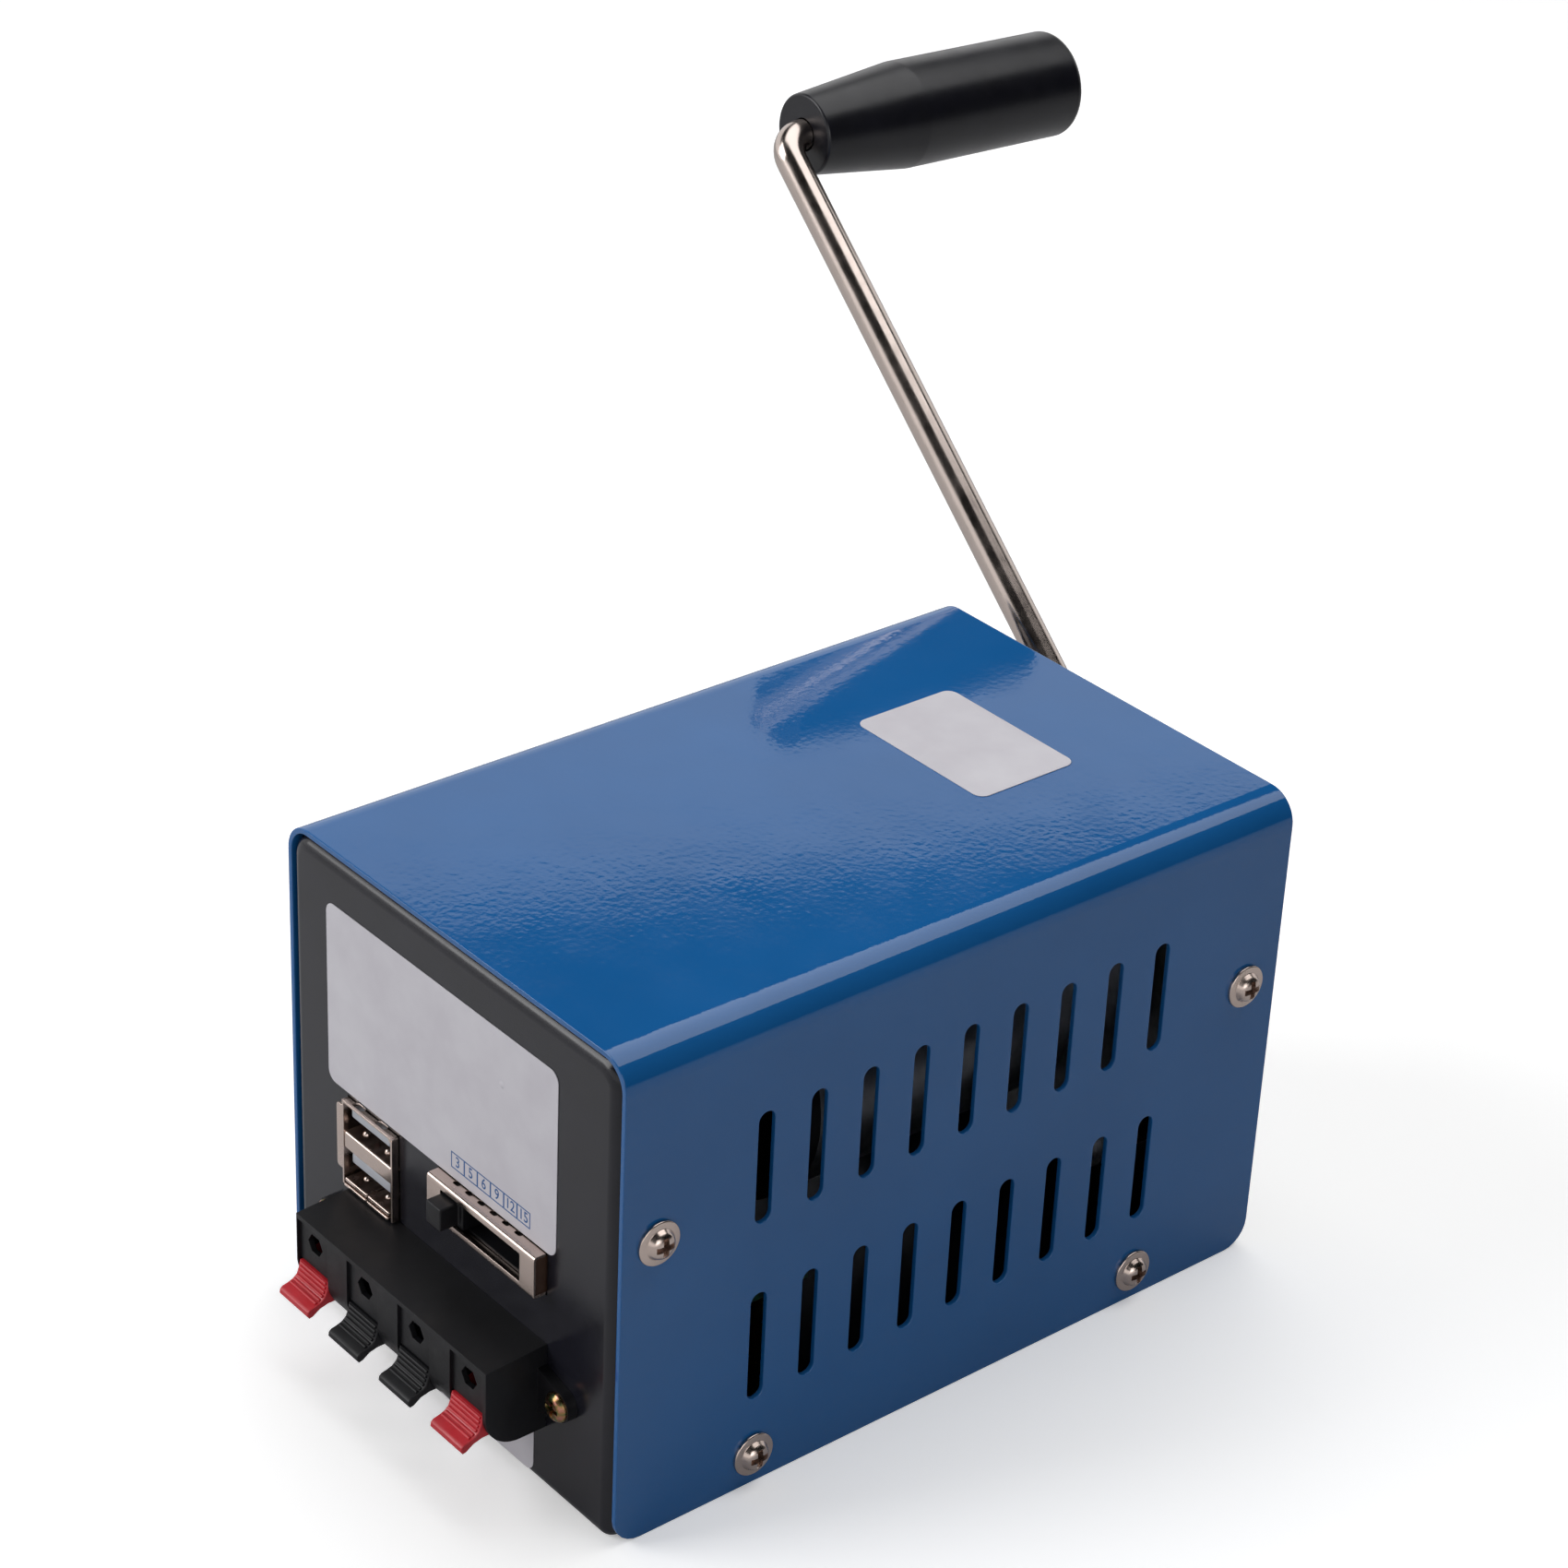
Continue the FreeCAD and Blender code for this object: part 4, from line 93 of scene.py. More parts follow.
def add(tree, kind, links=(), **settings):
    """Adds a node and links its inputs. A setting in small letters is a property of the node,
    and one with a capital is the value of the input of that name."""
    node = tree.nodes.new(kind)
    for name, value in settings.items():
        if name.islower():
            setattr(node, name, value)
        else:
            node.inputs[name.replace("_", " ")].default_value = value
    for name, source in links:
        tree.links.new(source, node.inputs[name])
    return node


def finish(name, colour, metallic=0.0, roughness=0.5, **settings):
    """A material with a Principled shader. Hands back the material, its tree and its shader."""
    material = bpy.data.materials.new(name)
    material.use_nodes = True
    shader = material.node_tree.nodes["Principled BSDF"]
    shader.inputs["Base Color"].default_value = linear(colour)
    shader.inputs["Metallic"].default_value = metallic
    shader.inputs["Roughness"].default_value = roughness
    for label, value in settings.items():
        shader.inputs[label.replace("_", " ")].default_value = value
    material.diffuse_color = linear(colour)
    return material, material.node_tree, shader


def grain(tree, size_mm, detail=3.0, roughness=0.55, stretch=None):
    """Noise in the piece's own coordinates, with features of about the given size."""
    place = add(tree, "ShaderNodeTexCoord").outputs["Object"]
    if stretch:
        place = add(tree, "ShaderNodeMapping", [("Vector", place)], Scale=stretch).outputs["Vector"]
    noise = add(tree, "ShaderNodeTexNoise", [("Vector", place)],
                Scale=1000 / size_mm, Detail=detail, Roughness=roughness)
    return noise.outputs["Fac"]


def tint(tree, shader, factor, dark, light, low=0.35, high=0.65):
    """Colours the shader between two colours, by a factor."""
    ramp = add(tree, "ShaderNodeValToRGB", [("Fac", factor)])
    ramp.color_ramp.elements[0].position = low
    ramp.color_ramp.elements[0].color = linear(dark)
    ramp.color_ramp.elements[1].position = high
    ramp.color_ramp.elements[1].color = linear(light)
    tree.links.new(ramp.outputs["Color"], shader.inputs["Base Color"])
    return ramp


def vary_roughness(tree, shader, factor, low, high):
    """Spreads the shader's roughness between two values, by a factor."""
    spread = add(tree, "ShaderNodeMapRange", [("Value", factor)], To_Min=low, To_Max=high,
                 From_Min=0.3, From_Max=0.7)
    tree.links.new(spread.outputs["Result"], shader.inputs["Roughness"])


def relief(tree, shader, *layers):
    """Bumps on the surface, each from a height and its depth in millimetres."""
    normal = None
    for height, depth_mm in layers:
        links = [("Height", height)] + ([("Normal", normal)] if normal else [])
        bump = add(tree, "ShaderNodeBump", links, Strength=1.0, Distance=depth_mm * MM)
        normal = bump.outputs["Normal"]
    tree.links.new(normal, shader.inputs["Normal"])


# ---------------------------------------------------------------- finishes

def blue_powder_coat():
    """Glossy blue powder coat: orange peel about a millimetre across, over a slow waviness."""
    material, tree, shader = finish("powder_coated_steel_blue", "#195d9b", roughness=0.2)
    tint(tree, shader, grain(tree, 40), "#185b98", "#1b609f")
    vary_roughness(tree, shader, grain(tree, 9), 0.04, 0.08)
    relief(tree, shader, (grain(tree, 16, 1.0), 0.03), (grain(tree, 1.2, 1.0, 0.4), 0.0095))
    return material


def charcoal_powder_coat():
    """Satin charcoal powder coat with a fine, even texture. Its bends carry a thin highlight."""
    material, tree, shader = finish("powder_coated_steel_charcoal", "#1f1f24", roughness=0.5,
                                    Specular_IOR_Level=0.4)
    tint(tree, shader, grain(tree, 6), "#15151c", "#1a1a22")
    vary_roughness(tree, shader, grain(tree, 3), 0.2, 0.25)
    relief(tree, shader, (grain(tree, 1.2, 1.0), 0.003))
    return material


def nickel_plate(name, colour, smooth, worn):
    """Bright nickel plate with faint smears and pits."""
    material, tree, shader = finish(name, colour, metallic=1.0, roughness=smooth)
    vary_roughness(tree, shader, grain(tree, 4, 4.0), smooth, worn)
    relief(tree, shader, (grain(tree, 0.8, 2.0), 0.0012), (grain(tree, 6), 0.008))
    return material


def zinc_plate(name, colour, light):
    """Zinc plated steel: soft cloudy spangle."""
    material, tree, shader = finish(name, colour, metallic=1.0, roughness=0.35)
    tint(tree, shader, grain(tree, 5), colour, light)
    vary_roughness(tree, shader, grain(tree, 3, 4.0), 0.28, 0.45)
    relief(tree, shader, (grain(tree, 0.9), 0.006))
    return material


def yellow_zinc_plate():
    """Yellow passivated zinc: gold with green and rosy patches."""
    material, tree, shader = finish("yellow_zinc_plated_steel", "#c9a25a", metallic=1.0,
                                    roughness=0.25)
    ramp = tint(tree, shader, grain(tree, 1.1, 1.0), "#5c6d48", "#b07a6c", 0.36, 0.64)
    middle = ramp.color_ramp.elements.new(0.5)
    middle.color = linear("#98784f")
    vary_roughness(tree, shader, grain(tree, 1.2), 0.18, 0.35)
    return material


def moulded_plastic(name, dark, light, smooth, rough, texture_mm=0.6, depth_mm=0.006, **settings):
    """Injection moulded plastic: a fine mould texture and slight cloudiness."""
    material, tree, shader = finish(name, dark, roughness=smooth, **settings)
    tint(tree, shader, grain(tree, 7), dark, light)
    vary_roughness(tree, shader, grain(tree, 4), smooth, rough)
    relief(tree, shader, (grain(tree, texture_mm, 2.0), depth_mm), (grain(tree, 5), 0.015))
    return material


def sticker_film(name, light, dark):
    """Matt white vinyl film with a soft unevenness from the sheet under it."""
    material, tree, shader = finish(name, light, roughness=0.42)
    tint(tree, shader, grain(tree, 12), dark, light)
    vary_roughness(tree, shader, grain(tree, 5), 0.38, 0.5)
    relief(tree, shader, (grain(tree, 7, 2.0), 0.02), (grain(tree, 0.5), 0.002))
    return material


def printed_ink(name, colour, worn):
    """Screen printed ink, slightly broken where the film shows through."""
    material, tree, shader = finish(name, colour, roughness=0.5)
    tint(tree, shader, grain(tree, 0.35, 2.0), colour, worn, 0.6, 0.98)
    return material


def turned_metal(name, dark, light, roughness):
    """Machined metal with fine tool marks."""
    material, tree, shader = finish(name, dark, metallic=1.0, roughness=roughness)
    tint(tree, shader, grain(tree, 4), dark, light)
    vary_roughness(tree, shader, grain(tree, 1.5), roughness * 0.8, roughness * 1.3)
    relief(tree, shader, (grain(tree, 0.5, 1.0, stretch=(1, 6, 1)), 0.004))
    return material


def solder_mask():
    """Green board with a glossy mask and faint tracks under it."""
    material, tree, shader = finish("solder_masked_board_green", "#0b3a24", roughness=0.3)
    tracks = add(tree, "ShaderNodeTexVoronoi",
                 [("Vector", add(tree, "ShaderNodeTexCoord").outputs["Object"])],
                 distance="MANHATTAN", feature="DISTANCE_TO_EDGE", Scale=1000 / 5)
    tint(tree, shader, tracks.outputs["Distance"], "#14522f", "#0a3621", 0.04, 0.09)
    relief(tree, shader, (tracks.outputs["Distance"], 0.03))
    return material


def wound_copper():
    """Enamelled copper wire. Its turns are drawn as bands nearly four millimetres apart, coarser
    than real wire, with painted shade in the groove between turns and a painted highlight along
    each turn. The wave node has 20 radians to a unit of its scale."""
    material, tree, shader = finish("enamelled_copper_wire", "#b5673a", metallic=1.0, roughness=0.3)
    turns_and_groove_shade = add(tree, "ShaderNodeTexWave",
                [("Vector", add(tree, "ShaderNodeTexCoord").outputs["Object"])],
                bands_direction="X", Scale=1000 / 12, Distortion=1.5)
    # painted shade and highlight: darker in the grooves between turns, lighter along each turn
    tint(tree, shader, turns_and_groove_shade.outputs["Fac"], "#7d3f22", "#c9794a", 0.2, 0.8)
    relief(tree, shader, (turns_and_groove_shade.outputs["Fac"], 0.1))
    return material


FINISHES = {
    "cover_paint": blue_powder_coat(),
    "chassis_paint": charcoal_powder_coat(),
    "nickel": nickel_plate("nickel_plated_sheet", "#c9b8af", 0.18, 0.3),
    "rod_steel": nickel_plate("nickel_plated_rod", "#c2b5ae", 0.16, 0.26),
    "steel": zinc_plate("zinc_plated_steel", "#9d9fa3", "#b4b6ba"),
    "yellow_zinc": yellow_zinc_plate(),
    "sticker": sticker_film("white_vinyl_sticker", "#d2d0d6", "#c9c6cd"),
    "white_plastic": moulded_plastic("moulded_pbt_white", "#a9acb4", "#b4b7be", 0.35, 0.5),
    "phenolic": moulded_plastic("phenolic_laminate_brown", "#2e1c12", "#3c2618", 0.45, 0.6),
    "black_plastic": moulded_plastic("moulded_abs_black", "#0b0b0e", "#101014", 0.4, 0.52,
                                     Specular_IOR_Level=0.3),
    "red_plastic": moulded_plastic("moulded_abs_red", "#b51f2a", "#c42934", 0.28, 0.42,
                                   Subsurface_Weight=0.08, Subsurface_Scale=0.001),
    "grip_plastic": moulded_plastic("moulded_grip_black", "#0f0f15", "#13131a", 0.28, 0.34,
                                    1.2, 0.003, Specular_IOR_Level=0.42),
    "brass_part": turned_metal("turned_brass", "#b08d4f", "#c8a768", 0.3),
    "alu": turned_metal("anodised_aluminium", "#a9abb0", "#bcbec3", 0.4),
    "copper": wound_copper(),
    "ferrite": moulded_plastic("pressed_ferrite", "#232325", "#2d2d30", 0.6, 0.75, 0.4, 0.02),
    "lamination": turned_metal("stacked_steel_laminations", "#54555a", "#6a6b70", 0.45),
    "board": solder_mask(),
    "gear_plastic": moulded_plastic("moulded_acetal_ivory", "#dcd9cc", "#e8e5da", 0.3, 0.45),
    "lead_insulation": moulded_plastic("extruded_pvc_red", "#8e1a1c", "#a32224", 0.35, 0.5),
}
INK_BLUE = printed_ink("screen_printed_ink_blue", "#215690", "#5583b6")


# ---------------------------------------------------------------- building pieces

MERGE = 0.002 * MM      # points closer than this are one
BESIDE_BEND = 0.3 * MM  # a cut this far beside a bend keeps the flat part next to it flat


def as_mesh(obj):
    """The object's evaluated shape as a plain mesh. The object is removed."""
    bpy.context.view_layer.update()
    graph = bpy.context.evaluated_depsgraph_get()
    mesh = bpy.data.meshes.new_from_object(obj.evaluated_get(graph))
    bpy.data.objects.remove(obj)
    return mesh


def temporary(name, data):
    """A new object in the scene."""
    obj = bpy.data.objects.new(name, data)
    collection.objects.link(obj)
    return obj


def tidy(mesh):
    """Merges coincident points and turns every face outward."""
    bm = bmesh.new()
    bm.from_mesh(mesh)
    bmesh.ops.remove_doubles(bm, verts=bm.verts, dist=MERGE)
    bmesh.ops.dissolve_degenerate(bm, dist=MERGE / 4, edges=bm.edges)
    bmesh.ops.recalc_face_normals(bm, faces=bm.faces)
    bm.to_mesh(mesh)
    bm.free()
    return mesh


def piece(name, mesh, body, slot, replaced=(), sharp_degrees=32, material=None):
    """Sets a finished mesh in the scene: shading, finish, body, and the nodes it stands for."""
    for polygon in mesh.polygons:
        polygon.use_smooth = True
    mesh.set_sharp_from_angle(angle=math.radians(sharp_degrees))
    mesh.materials.clear()
    mesh.materials.append(material or FINISHES[slot])
    obj = temporary(name, mesh)
    weigh = obj.modifiers.new("weigh", "WEIGHTED_NORMAL")
    weigh.keep_sharp = True
    obj = temporary(name, as_mesh(obj))
    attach(obj, body)
    if replaced:
        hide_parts(*replaced)
    return obj


def joined(meshes):
    """Several meshes as one."""
    bm = bmesh.new()
    for mesh in meshes:
        bm.from_mesh(mesh)
    whole = bpy.data.meshes.new("joined")
    bm.to_mesh(whole)
    bm.free()
    return whole


def moved(mesh, matrix):
    """The same mesh, set elsewhere."""
    mesh.transform(matrix)
    return mesh


def rectangle(left, right, low, high, corner=0.0, steps=6):
    """A loop of points: a rectangle with round corners."""
    if not corner:
        return [(left, low), (right, low), (right, high), (left, high)]
    loop = []
    centres = ((right - corner, low + corner, -90), (right - corner, high - corner, 0),
               (left + corner, high - corner, 90), (left + corner, low + corner, 180))
    for x, z, start in centres:
        for step in range(steps + 1):
            angle = math.radians(start + 90 * step / steps)
            loop.append((x + corner * math.cos(angle), z + corner * math.sin(angle)))
    return loop


def circle(x, z, radius, steps=24):
    """A loop of points round a centre."""
    angles = [2 * math.pi * i / steps for i in range(steps)]
    return [(x + radius * math.cos(angle), z + radius * math.sin(angle)) for angle in angles]


def blank(loops, thickness, rounding):
    """A flat sheet in u and v, from 0 to its thickness in w, with rounded edges."""
    curve = bpy.data.curves.new("blank", "CURVE")
    curve.dimensions = "2D"
    curve.fill_mode = "BOTH"
    curve.extrude = thickness / 2 - rounding
    curve.bevel_depth = rounding
    curve.bevel_resolution = 2
    curve.offset = -rounding
    for loop in loops:
        spline = curve.splines.new("POLY")
        spline.points.add(len(loop) - 1)
        for point, (u, v) in zip(spline.points, loop):
            point.co = (u, v, 0, 1)
        spline.use_cyclic_u = True
    mesh = as_mesh(temporary("blank", curve))
    return tidy(moved(mesh, Matrix.Translation((0, 0, thickness / 2))))


AXES = {
    "front": Matrix(((1, 0, 0, 0), (0, 0, -1, 0), (0, 1, 0, 0), (0, 0, 0, 1))),
    "top": Matrix.Identity(4),
    "side": Matrix(((0, 0, 1, 0), (1, 0, 0, 0), (0, 1, 0, 0), (0, 0, 0, 1))),
}


def plate(loops, thickness, rounding, facing, at):
    """A flat sheet set in the model. Front: u is x, v is z, and it grows towards the front.
    Top: u is x, v is y, and it grows upward. Side: u is y, v is z, and it grows to the right."""
    shift = {"front": (0, at, 0), "top": (0, 0, at), "side": (at, 0, 0)}[facing]
    return moved(blank(loops, thickness, rounding), Matrix.Translation(shift) @ AXES[facing])


def ahead(heading):
    """The direction of a heading, in radians from the first axis."""
    return Vector((math.cos(heading), math.sin(heading)))


def to_right(heading):
    """The direction at a right angle to a heading, on its right."""
    return Vector((math.sin(heading), -math.cos(heading)))


def fold(mesh, thickness, start, direction, runs, steps=10):
    """Folds a flat sheet along u, always to the right. The path is its outside, a list of straight
    lengths and (radius, degrees) bends from a start point. Hands back (across, v, up)."""
    heading = math.radians(direction)
    place = Vector(start)
    spans = []
    cuts = []
    travelled = 0.0
    for run in runs:
        radius, turn = run if isinstance(run, tuple) else (None, 0)
        length = radius * math.radians(turn) if radius else run
        spans.append((travelled, travelled + length, place.copy(), heading, radius))
        if radius:
            centre = place + radius * to_right(heading)
            heading -= math.radians(turn)
            place = centre - radius * to_right(heading)
            cuts += [travelled + length * step / steps for step in range(steps + 1)]
            cuts += [travelled - BESIDE_BEND, travelled + length + BESIDE_BEND]
        else:
            place = place + length * ahead(heading)
        travelled += length
    bm = bmesh.new()
    bm.from_mesh(mesh)
    for cut in cuts:
        bmesh.ops.bisect_plane(bm, geom=bm.verts[:] + bm.edges[:] + bm.faces[:], dist=1e-7,
                               plane_co=(cut, 0, 0), plane_no=(1, 0, 0))
    for vertex in bm.verts:
        u, v, w = vertex.co
        begin, _, corner, facing, radius = next((s for s in spans if u <= s[1] + 1e-9), spans[-1])
        if radius:
            turned_to = facing - (u - begin) / radius
            outside = corner + radius * to_right(facing) - radius * to_right(turned_to)
        else:
            turned_to = facing
            outside = corner + (u - begin) * ahead(facing)
        point = outside + (thickness - w) * to_right(turned_to)
        vertex.co = (point.x, v, point.y)
    bmesh.ops.recalc_face_normals(bm, faces=bm.faces)
    bm.to_mesh(mesh)
    bm.free()
    return mesh


def turned(profile, steps):
    """A solid of revolution about +Z from (radius, height) points."""
    bm = bmesh.new()
    rings = []
    for radius, height in profile:
        if radius < 1e-7:
            rings.append([bm.verts.new((0, 0, height))])
            continue
        rings.append([bm.verts.new((x, y, height)) for x, y in circle(0, 0, radius, steps)])
    for low, high in zip(rings, rings[1:]):
        for i in range(steps):
            corners = [low[i % len(low)], low[(i + 1) % len(low)],
                       high[(i + 1) % len(high)], high[i % len(high)]]
            unique = list(dict.fromkeys(corners))
            if len(unique) > 2:
                bm.faces.new(unique)
    bmesh.ops.recalc_face_normals(bm, faces=bm.faces)
    mesh = bpy.data.meshes.new("turned")
    bm.to_mesh(mesh)
    bm.free()
    return mesh


def rounded_profile(corners, steps=6):
    """(radius, height) points where each corner may carry a rounding as a third number."""
    points = []
    for index, corner in enumerate(corners):
        here = Vector(corner[:2])
        if len(corner) < 3:
            points.append(tuple(here))
            continue
        before = (Vector(corners[index - 1][:2]) - here).normalized()
        after = (Vector(corners[index + 1][:2]) - here).normalized()
        half = before.angle(after) / 2
        reach = corner[2] / math.tan(half)
        centre = here + (before + after).normalized() * corner[2] / math.sin(half)
        first = here + before * reach - centre
        last = here + after * reach - centre
        for step in range(steps + 1):
            points.append(tuple(centre + first.lerp(last, step / steps).normalized() * corner[2]))
    return points


def softened(node, width_mm):
    """A copy of a node's shape with its sharp edges broken by a small round."""
    flat_angle = math.radians(0.5)
    sharp_angle = math.radians(40)
    bm = bmesh.new()
    bm.from_mesh(nodes[node].data)
    bmesh.ops.remove_doubles(bm, verts=bm.verts, dist=MERGE)
    bmesh.ops.dissolve_limit(bm, angle_limit=flat_angle, verts=bm.verts, edges=bm.edges)
    edges = [edge for edge in bm.edges
             if len(edge.link_faces) == 2 and edge.calc_face_angle(0) > sharp_angle]
    bmesh.ops.bevel(bm, geom=edges, offset=width_mm * MM, segments=2, profile=0.5,
                    affect="EDGES", clamp_overlap=True)
    bmesh.ops.triangulate(bm, faces=[f for f in bm.faces if len(f.verts) > 4])
    mesh = bpy.data.meshes.new(node)
    bm.to_mesh(mesh)
    bm.free()
    return mesh


def rounded_path(corners, radius, steps):
    """Points along straight runs in space, with arcs of one radius at the corners."""
    points = [corners[0]]
    for before, here, after in zip(corners, corners[1:], corners[2:]):
        back = (before - here).normalized()
        on = (after - here).normalized()
        half = back.angle(on) / 2
        reach = radius / math.tan(half)
        centre = here + (back + on).normalized() * radius / math.sin(half)
        first = here + back * reach - centre
        last = here + on * reach - centre
        turn = first.angle(last)
        for step in range(steps + 1):
            share = step / steps
            spoke = first * math.sin((1 - share) * turn) + last * math.sin(share * turn)
            points.append(centre + spoke / math.sin(turn))
    return points + [corners[-1]]


def tube(points, radius, resolution=14):
    """A round bar along points in space, with flat ends."""
    curve = bpy.data.curves.new("tube", "CURVE")
    curve.dimensions = "3D"
    curve.bevel_depth = radius
    curve.bevel_resolution = resolution
    curve.use_fill_caps = True
    spline = curve.splines.new("POLY")
    spline.points.add(len(points) - 1)
    for point, place in zip(spline.points, points):
        point.co = (*place, 1)
    return tidy(as_mesh(temporary("tube", curve)))


def copies_tree():
    """A node tree that sets a part at every point of a mesh, turned as the point says."""
    tree = bpy.data.node_groups.new("part_at_points", "GeometryNodeTree")
    sockets = tree.interface
    sockets.new_socket("Places", in_out="INPUT", socket_type="NodeSocketGeometry")
    sockets.new_socket("Part", in_out="INPUT", socket_type="NodeSocketObject")
    sockets.new_socket("Size", in_out="INPUT", socket_type="NodeSocketFloat")
    sockets.new_socket("Finish", in_out="INPUT", socket_type="NodeSocketMaterial")
    sockets.new_socket("Copies", in_out="OUTPUT", socket_type="NodeSocketGeometry")
    given = add(tree, "NodeGroupInput").outputs
    part = add(tree, "GeometryNodeObjectInfo", [("Object", given["Part"])])
    turn = add(tree, "GeometryNodeInputNamedAttribute", data_type="FLOAT_VECTOR", Name="turn")
    rotation = add(tree, "FunctionNodeEulerToRotation", [("Euler", turn.outputs["Attribute"])])
    copies = add(tree, "GeometryNodeInstanceOnPoints", [
        ("Points", given["Places"]), ("Instance", part.outputs["Geometry"]),
        ("Rotation", rotation.outputs["Rotation"]), ("Scale", given["Size"])])
    solid = add(tree, "GeometryNodeRealizeInstances", [("Geometry", copies.outputs["Instances"])])
    painted = add(tree, "GeometryNodeSetMaterial", [
        ("Geometry", solid.outputs["Geometry"]), ("Material", given["Finish"])])
    add(tree, "NodeGroupOutput", [("Copies", painted.outputs["Geometry"])])
    return tree


PART_AT_POINTS = copies_tree()
FACING = {
    "right": (0, math.pi / 2, 0), "left": (0, -math.pi / 2, 0),
    "up": (0, 0, 0), "front": (math.pi / 2, 0, 0),
}


def copies(part, places, finish_slot, size=1.0):
    """One mesh with a copy of a part, which points along +Z, at each (place, turn)."""
    points = bpy.data.meshes.new("places")
    points.from_pydata([place for place, _ in places], [], [])
    turns_and_groove_shade = points.attributes.new("turn", "FLOAT_VECTOR", "POINT")
    for row, (_, turn) in zip(turns_and_groove_shade.data, places):
        row.vector = turn
    part_object = temporary("part", part)
    obj = temporary("places", points)
    modifier = obj.modifiers.new("copies", "NODES")
    modifier.node_group = PART_AT_POINTS
    given = {"Part": part_object, "Size": size, "Finish": FINISHES[finish_slot]}
    for item in PART_AT_POINTS.interface.items_tree:
        if item.name in given:
            modifier[item.identifier] = given[item.name]
    mesh = as_mesh(obj)
    bpy.data.objects.remove(part_object)
    return mesh


# ---------------------------------------------------------------- cover and stickers

cover_low, cover_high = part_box("cover")
COVER_SHEET = 1.0 * MM
COVER_BEND = 5.5 * MM
COVER_FRONT = -69.2 * MM
COVER_CORNER = 5 * MM
COVER_EDGE = 0.18 * MM
SLOT_COUNT = 9
SLOT_PITCH = 10.44 * MM
SLOT_HEIGHTS = (27.2 * MM, 61.2 * MM)
SLOT_LENGTH = 20.6 * MM
SLOT_WIDTH = 3.2 * MM
SCREW_PLACES = [(side * 62.4 * MM, 56 * MM) for side in (-1, 1)]
SCREW_PLACES += [(side * 41.8 * MM, 6 * MM) for side in (-1, 1)]
SCREW_BORE = 1.6 * MM


def make_cover():
    """The cover, cut as a flat sheet with its slots and bores, and folded at its two bends."""
    width = cover_high.x - cover_low.x
    height = cover_high.z - cover_low.z
    side = height - COVER_BEND
    blank_width = 2 * side + math.pi * COVER_BEND + width - 2 * COVER_BEND
    loops = [rectangle(0, blank_width, COVER_FRONT, cover_high.y, COVER_CORNER)]
    slot_end = SLOT_WIDTH / 2 - 1e-6
    for index in range(SLOT_COUNT):
        y = (index - (SLOT_COUNT - 1) / 2) * SLOT_PITCH
        for centre in SLOT_HEIGHTS:
            for middle in (centre, blank_width - centre):
                loops.append(rectangle(middle - SLOT_LENGTH / 2, middle + SLOT_LENGTH / 2,
                                       y - SLOT_WIDTH / 2, y + SLOT_WIDTH / 2, slot_end))
    for y, z in SCREW_PLACES:
        loops += [circle(z, y, SCREW_BORE), circle(blank_width - z, y, SCREW_BORE)]
    sheet = blank(loops, COVER_SHEET, COVER_EDGE)
    bend = (COVER_BEND, 90)
    fold(sheet, COVER_SHEET, (cover_low.x, cover_low.z), 90,
         [side, bend, width - 2 * COVER_BEND, bend, side])
    piece("cover_folded", sheet, "case", "cover_paint", ["cover"])


def make_stickers():
    """The three bare films. A small bubble of air stands under the front one."""
    corner = 2 * MM
    edge = 0.05 * MM
    for node, below in (("front_label", 0.3 * MM), ("lower_label", 1.6 * MM)):
        low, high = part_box(node)
        outline = rectangle(low.x, high.x, low.z - below, high.z, corner)
        film = plate([outline], high.y - low.y, edge, "front", high.y)
        if node == "front_label":
            bubble_x, bubble_z = 14.7 * MM, 70.9 * MM
            sunk = 0.02 * MM
            bubble = turned([(0, 0.16 * MM), (0.35 * MM, 0.13 * MM), (0.75 * MM, 0.0), (0, 0)], 20)
            place = Matrix.Translation((bubble_x, low.y + sunk, bubble_z))
            film = joined([film, moved(bubble, place @ AXES["front"])])
        piece(node + "_film", film, "case", "sticker", [node])
    low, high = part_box("top_label")
    outline = rectangle(low.x, high.x, low.y, high.y, corner)
    film = plate([outline], high.z - low.z, edge, "top", low.z)
    piece("top_label_film", film, "case", "sticker", ["top_label"])


SCALE_MARKS = ("3", "5", "6", "9", "12", "15")
SCALE_LEFT = 1.3 * MM
SCALE_BOX = 3.52 * MM
SCALE_LOW = 48.25 * MM
SCALE_HIGH = 51.3 * MM
INK = 0.02 * MM


def numeral(mark, centre):
    """A plain number in ink that faces the front, a little narrower than the font has it."""
    text = bpy.data.curves.new("mark", "FONT")
    text.body = mark
    text.size = 2.75 * MM
    text.align_x = "CENTER"
    text.align_y = "CENTER"
    text.extrude = INK / 2
    text.offset = 0.02 * MM
    narrowed = Matrix.Diagonal((0.9, 1, 1, 1))
    return moved(as_mesh(temporary("mark", text)),
                 Matrix.Translation(centre) @ AXES["front"] @ narrowed)


def make_scale_print():
    """The switch's scale: six boxes with plain numbers, printed on the front sticker."""
    line = 0.22 * MM
    edge = 0.002 * MM
    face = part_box("front_label")[0].y
    count = len(SCALE_MARKS)
    loops = [rectangle(SCALE_LEFT, SCALE_LEFT + SCALE_BOX * count, SCALE_LOW, SCALE_HIGH)]
    numerals = []
    for index, mark in enumerate(SCALE_MARKS):
        left = SCALE_LEFT + SCALE_BOX * index
        wall = line if index == count - 1 else line / 2
        loops.append(rectangle(left + line, left + SCALE_BOX - wall,
                               SCALE_LOW + line, SCALE_HIGH - line))
        centre = Vector((SCALE_LEFT + SCALE_BOX * (index + 0.5), face - INK / 2,
                         (SCALE_LOW + SCALE_HIGH) / 2))
        numerals.append(numeral(mark, centre))
    boxes = plate(loops, INK, edge, "front", face)
    piece("scale_print", joined([boxes] + numerals), "case", "sticker", material=INK_BLUE)


# ---------------------------------------------------------------- screws

